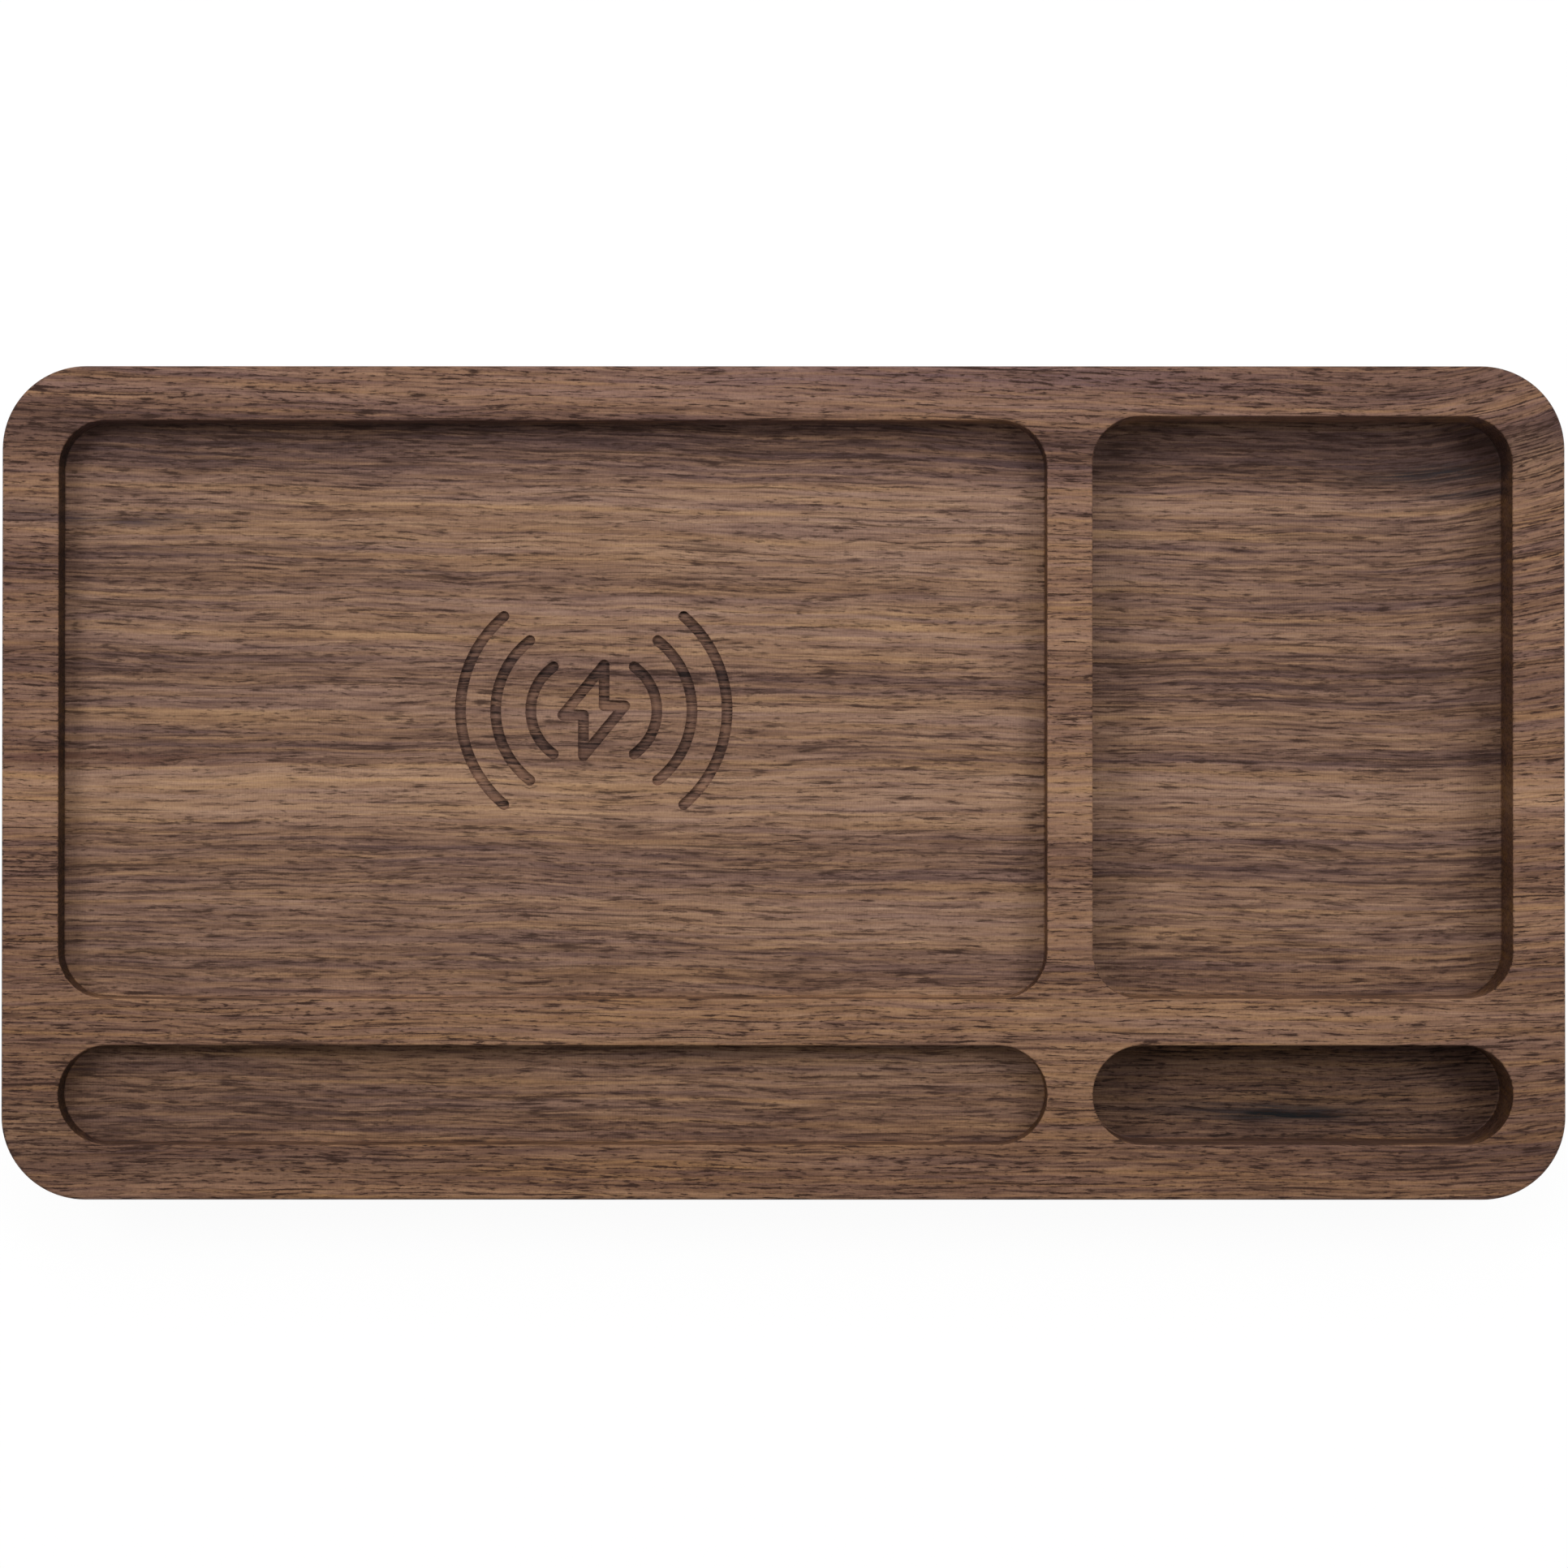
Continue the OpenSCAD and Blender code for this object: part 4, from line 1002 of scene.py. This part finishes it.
# %% Bezel, shell, tongue and contacts
bezel_plastic = grained(
    "bezel_plastic", (0.012, 0.012, 0.013), (0.020, 0.020, 0.021), 0.18, 0.42, relief=0.015
)
socket_steel = grained(
    "socket_steel", (0.46, 0.46, 0.46), (0.68, 0.67, 0.65), 0.09, 0.26, relief=0.003,
    drawn=(1, 16, 1), Metallic=1.0
)
socket_plastic = grained(
    "socket_plastic", (0.010, 0.010, 0.011), (0.018, 0.018, 0.018), 0.12, 0.5, relief=0.005
)
socket_gold = grained(
    "socket_gold", (0.70, 0.44, 0.13), (0.86, 0.60, 0.22), 0.06, 0.28, relief=0.002,
    drawn=(1, 8, 1), Metallic=1.0
)
dress(bezel_plastic, "port_bezel", edge=0.12)
dress(socket_steel, "socket_shell", edge=0.06)
dress(socket_plastic, "socket_tongue", edge=0.06)
dress(socket_gold, "socket_contacts")

# %% [markdown]
# ## The coil and what lies around it
# The coil is wound from stranded copper wire. Its strands run round the wire like those of a rope,
# so the finish needs a stripe that climbs as it goes along. Round the middle of the coil, the angle
# times the radius is the length along the wire, and the radius alone says where across the wire a
# point lies. A sine of the two together is the twist.

# %% Stranded copper wire
middle_radius, phase_per_mm_across, phase_per_mm_along = 17.0, 14.0, 9.0
coil_wire, tree = new_tree("coil_wire")
place = object_place_mm(tree)
coil_middle = (symbol_x, symbol_y, 0.0)
from_middle = add(tree, "VectorMath", {0: place, 1: coil_middle}, operation="SUBTRACT")
x, y, _ = split(from_middle.outputs[0])
flat_place = add(tree, "CombineXYZ", {0: x, 1: y}).outputs[0]
radius = add(tree, "VectorMath", {0: flat_place}, operation="LENGTH").outputs["Value"]
along_wire = calc("MULTIPLY", calc("ARCTAN2", y, x), middle_radius)
phase = calc("MULTIPLY", along_wire, phase_per_mm_along)
phase = calc("MULTIPLY_ADD", radius, phase_per_mm_across, phase)
strands = calc("MULTIPLY_ADD", calc("SINE", phase), 0.5, 0.5)
tarnish = stretched_noise(place, 3, 3, 3, detail=3)
share = calc("MULTIPLY", strands, calc("MULTIPLY_ADD", tarnish, 0.6, 0.5))
end_with_shader(tree, {
    "Base Color": mix(share, (0.24, 0.085, 0.035), (0.86, 0.42, 0.22)),
    "Metallic": 1.0,
    "Roughness": calc("MULTIPLY_ADD", tarnish, 0.2, 0.28),
    "Normal": bump(strands, 0.05, 0.8),
})
dress(coil_wire, "transmit_coil")

# %% Tape, ferrite, foam and sensor
coil_tape = grained(
    "coil_tape", (0.40, 0.20, 0.035), (0.58, 0.32, 0.07), 1.2, 0.24, relief=0.01, Coat_Weight=0.5
)
ferrite = grained(
    "ferrite", (0.024, 0.025, 0.028), (0.060, 0.060, 0.064), 0.16, 0.42, relief=0.02
)
sensor_epoxy = grained(
    "sensor_epoxy", (0.008, 0.008, 0.009), (0.022, 0.021, 0.020), 0.5, 0.22, relief=0.02,
    Coat_Weight=0.4
)
sensor_insulation = grained(
    "sensor_insulation", (0.36, 0.030, 0.024), (0.50, 0.052, 0.040), 0.6, 0.4, relief=0.004
)
dress(coil_tape, "coil_tape")
dress(ferrite, "ferrite_tile", edge=0.15)
dress(sensor_epoxy, "temperature_sensor")
dress(sensor_insulation, "sensor_wires")

# %% [markdown]
# Foam is cells, and noise makes a poor cell. Voronoi cells with dark hollows between lighter walls
# look like the cut face of a foam block. The dark of the hollows is painted shade.

# %% Open-cell foam
foam, tree = new_tree("foam")
place = object_place_mm(tree)
cells = add(tree, "TexVoronoi", {"Vector": place, "Scale": 1.4, "Randomness": 1.0}, feature="F1")
# The hollows of the cells are darker than their walls: painted shade.
wall_share = remap(cells.outputs["Distance"], 0.1, 0.62)
end_with_shader(tree, {
    "Base Color": mix(wall_share, (0.018, 0.018, 0.020), (0.085, 0.085, 0.092)),
    "Roughness": 0.92,
    "Normal": bump(wall_share, 0.25, 0.9),
})
dress(foam, "coil_foam", edge=0.5)

# %% [markdown]
# ## The circuit board
# A board is glass fibre and resin under a green solder mask. Copper tracks show through the mask as
# paler lines that run straight, and small tinned holes join the two sides. A brick pattern gives
# the tracks: its joints are thin straight lines with corners, and two patterns at different scales
# look routed rather than tiled. The cut edge shows the bare laminate.

# %% Circuit board
board_laminate, tree = new_tree("board_laminate")
place = object_place_mm(tree)
tracks = 0.0
for size, angle in ((1.6, 0.0), (2.7, pi / 2)):
    turn = {"Vector": place, "Angle": angle}
    turned_place = add(tree, "VectorRotate", turn, rotation_type="Z_AXIS").outputs[0]
    bricks = add(
        tree,
        "TexBrick",
        {
            "Vector": turned_place, "Scale": 1.0, "Mortar Size": 0.12, "Mortar Smooth": 0.1,
            "Brick Width": 3.1 * size, "Row Height": size,
        },
        offset=0.37, offset_frequency=3, squash=0.6, squash_frequency=2,
    )
    tracks = calc("MAXIMUM", tracks, bricks.outputs["Fac"])
mask_noise = stretched_noise(place, 6, 6, 6, detail=2)
board_colour = mix(mask_noise, (0.010, 0.085, 0.040), (0.014, 0.120, 0.056))
board_colour = mix(tracks, board_colour, (0.045, 0.23, 0.085))
hole_pattern = add(
    tree,
    "TexVoronoi",
    {"Vector": place, "Scale": 0.36, "Randomness": 0.8},
    feature="F1", voronoi_dimensions="2D",
)
tinned = calc("LESS_THAN", hole_pattern.outputs["Distance"], 0.115)
board_colour = mix(tinned, board_colour, (0.55, 0.55, 0.52))
upright = calc("ABSOLUTE", split(add(tree, "NewGeometry").outputs["True Normal"])["Z"])
edge_share = calc("LESS_THAN", upright, 0.5)
end_with_shader(tree, {
    "Base Color": mix(edge_share, board_colour, (0.42, 0.36, 0.17)),
    "Roughness": calc("MULTIPLY_ADD", edge_share, 0.4, 0.32),
    "Coat Weight": 0.3,
    "Normal": bump(tracks, 0.03, 0.5),
})
dress(board_laminate, "circuit_board")

# %% [markdown]
# ## Chips
# The controller and the four transistors are black moulded epoxy, and the ends of their leads show
# as a row of small tinned squares along the foot of each side. The squares are a pattern too, one
# that repeats every 0.5 or 0.65 mm along X and Y and is kept only near the board.

# %% Black epoxy with tinned leads
board_top_z, lead_height, lead_half_width = 7.2, 0.25, 0.22


def leaded_epoxy(name, pitch):
    """Black epoxy above a row of tinned leads that stand a pitch apart, in mm."""
    material, tree = new_tree(name)
    place = object_place_mm(tree)
    x, y, z = split(place)
    leads = calc("LESS_THAN", z, board_top_z + lead_height)
    for along in (x, y):
        repeat = calc("FRACT", calc("DIVIDE", along, pitch))
        off_middle = calc("ABSOLUTE", calc("SUBTRACT", repeat, 0.5))
        leads = calc("MULTIPLY", leads, calc("LESS_THAN", off_middle, lead_half_width))
    grain = stretched_noise(place, 0.12, 0.12, 0.12, detail=3)
    epoxy = mix(grain, (0.010, 0.010, 0.011), (0.030, 0.030, 0.031))
    end_with_shader(tree, {
        "Base Color": mix(leads, epoxy, (0.62, 0.61, 0.58)),
        "Metallic": leads,
        "Roughness": calc("MULTIPLY_ADD", leads, -0.25, 0.58),
        "Normal": bump(grain, 0.01, 0.5),
    })
    return material


TRANSISTORS = [f"transistor_{i}" for i in (1, 2, 3, 4)]
dress(leaded_epoxy("chip_epoxy", pitch=0.5), "controller_chip", edge=0.08)
dress(leaded_epoxy("transistor_epoxy", pitch=0.65), *TRANSISTORS, edge=0.08)
inductor_ferrite = grained(
    "inductor_ferrite", (0.085, 0.085, 0.088), (0.17, 0.17, 0.17), 0.2, 0.55, relief=0.02
)
heat_pad_silicone = grained(
    "heat_pad", (0.26, 0.36, 0.52), (0.36, 0.47, 0.63), 0.7, 0.7, relief=0.03
)
dress(inductor_ferrite, "power_inductor", edge=0.3)
dress(heat_pad_silicone, "heat_pad", edge=0.3)

# %% [markdown]
# ## Capacitors and resistors
# Each is a fired ceramic block between two metal ends that wrap round it. In the CAD model a whole
# part is one solid of one material. Here it is rebuilt as three blocks with rounded edges, so the
# ceramic and the tin each get their own finish. The longer side of the solid's box says which way
# the part lies.

# %% Ceramic blocks with tinned ends
body_edge, cap_edge = 0.05, 0.09


def rounded_block(mesh, low, high, edge, index):
    """A block with rounded edges, between two corners in mm."""
    before = set(mesh.faces)
    corners = bmesh.ops.create_cube(mesh, size=1)["verts"]
    for corner in corners:
        corner.co = Vector(
            (low[i] + (corner.co[i] + 0.5) * (high[i] - low[i])) * MM for i in range(3)
        )
    edges = list({side for corner in corners for side in corner.link_edges})
    bmesh.ops.bevel(mesh, geom=edges, offset=edge * MM, segments=2, profile=0.5, affect="EDGES")
    for face in set(mesh.faces) - before:
        face.material_index = index


def capped_part(mesh, low, high):
    """A ceramic block with a metal end at either end of its longer side."""
    side = 0 if high[0] - low[0] > high[1] - low[1] else 1
    cap, wrap = (high[side] - low[side]) / 6, 0.04
    inset = [0.5 * cap if i == side else wrap for i in range(3)]
    body_low = [low[i] + inset[i] for i in range(3)]
    body_high = [high[i] - inset[i] for i in range(3)]
    rounded_block(mesh, body_low, body_high, body_edge, 0)
    first_high, last_low = list(high), list(low)
    first_high[side], last_low[side] = low[side] + cap, high[side] - cap
    rounded_block(mesh, low, first_high, cap_edge, 1)
    rounded_block(mesh, last_low, high, cap_edge, 1)


tin = grained(
    "tinned_ends", (0.50, 0.50, 0.49), (0.72, 0.71, 0.68), 0.12, 0.32, relief=0.008, Metallic=1.0
)
capacitor_ceramic = grained(
    "capacitor_ceramic", (0.36, 0.24, 0.14), (0.46, 0.32, 0.19), 0.3, 0.5, relief=0.004
)
resistor_ceramic = grained(
    "resistor_ceramic", (0.010, 0.010, 0.012), (0.026, 0.026, 0.028), 0.25, 0.35, relief=0.004
)
CAPACITORS = [f"resonance_capacitor_{i}" for i in (1, 2, 3, 4)]
CAPACITORS += [f"filter_capacitor_{i}" for i in (1, 2, 3)]
CAPPED = {name: ("capacitor_ceramic", capacitor_ceramic) for name in CAPACITORS}
CAPPED["sense_resistor"] = ("resistor_ceramic", resistor_ceramic)
for name, (slot, ceramic) in CAPPED.items():
    low, high = (tuple(value / MM for value in corner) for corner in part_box(name))
    mesh = bmesh.new()
    capped_part(mesh, low, high)
    finished_piece(mesh, "capped_" + name, [ceramic, tin], name)

# %% Eight small resistors in one piece
RESISTOR_MIDDLES = (
    (-38.75, 60.6), (-35.53, 60.6), (-41.97, 58.2), (-41.97, 60.6),
    (-38.29, 49.8), (-35.07, 49.8), (-55.77, 55.8), (-55.77, 59.4),
)
resistor_w, resistor_l = 0.8, 1.6
low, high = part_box("chip_resistors")
mesh = bmesh.new()
for x_middle, y_middle in RESISTOR_MIDDLES:
    capped_part(
        mesh,
        (x_middle - resistor_w / 2, y_middle - resistor_l / 2, low.z / MM),
        (x_middle + resistor_w / 2, y_middle + resistor_l / 2, high.z / MM),
    )
finished_piece(
    mesh, "capped_chip_resistors", [resistor_ceramic, tin], "chip_resistors"
)
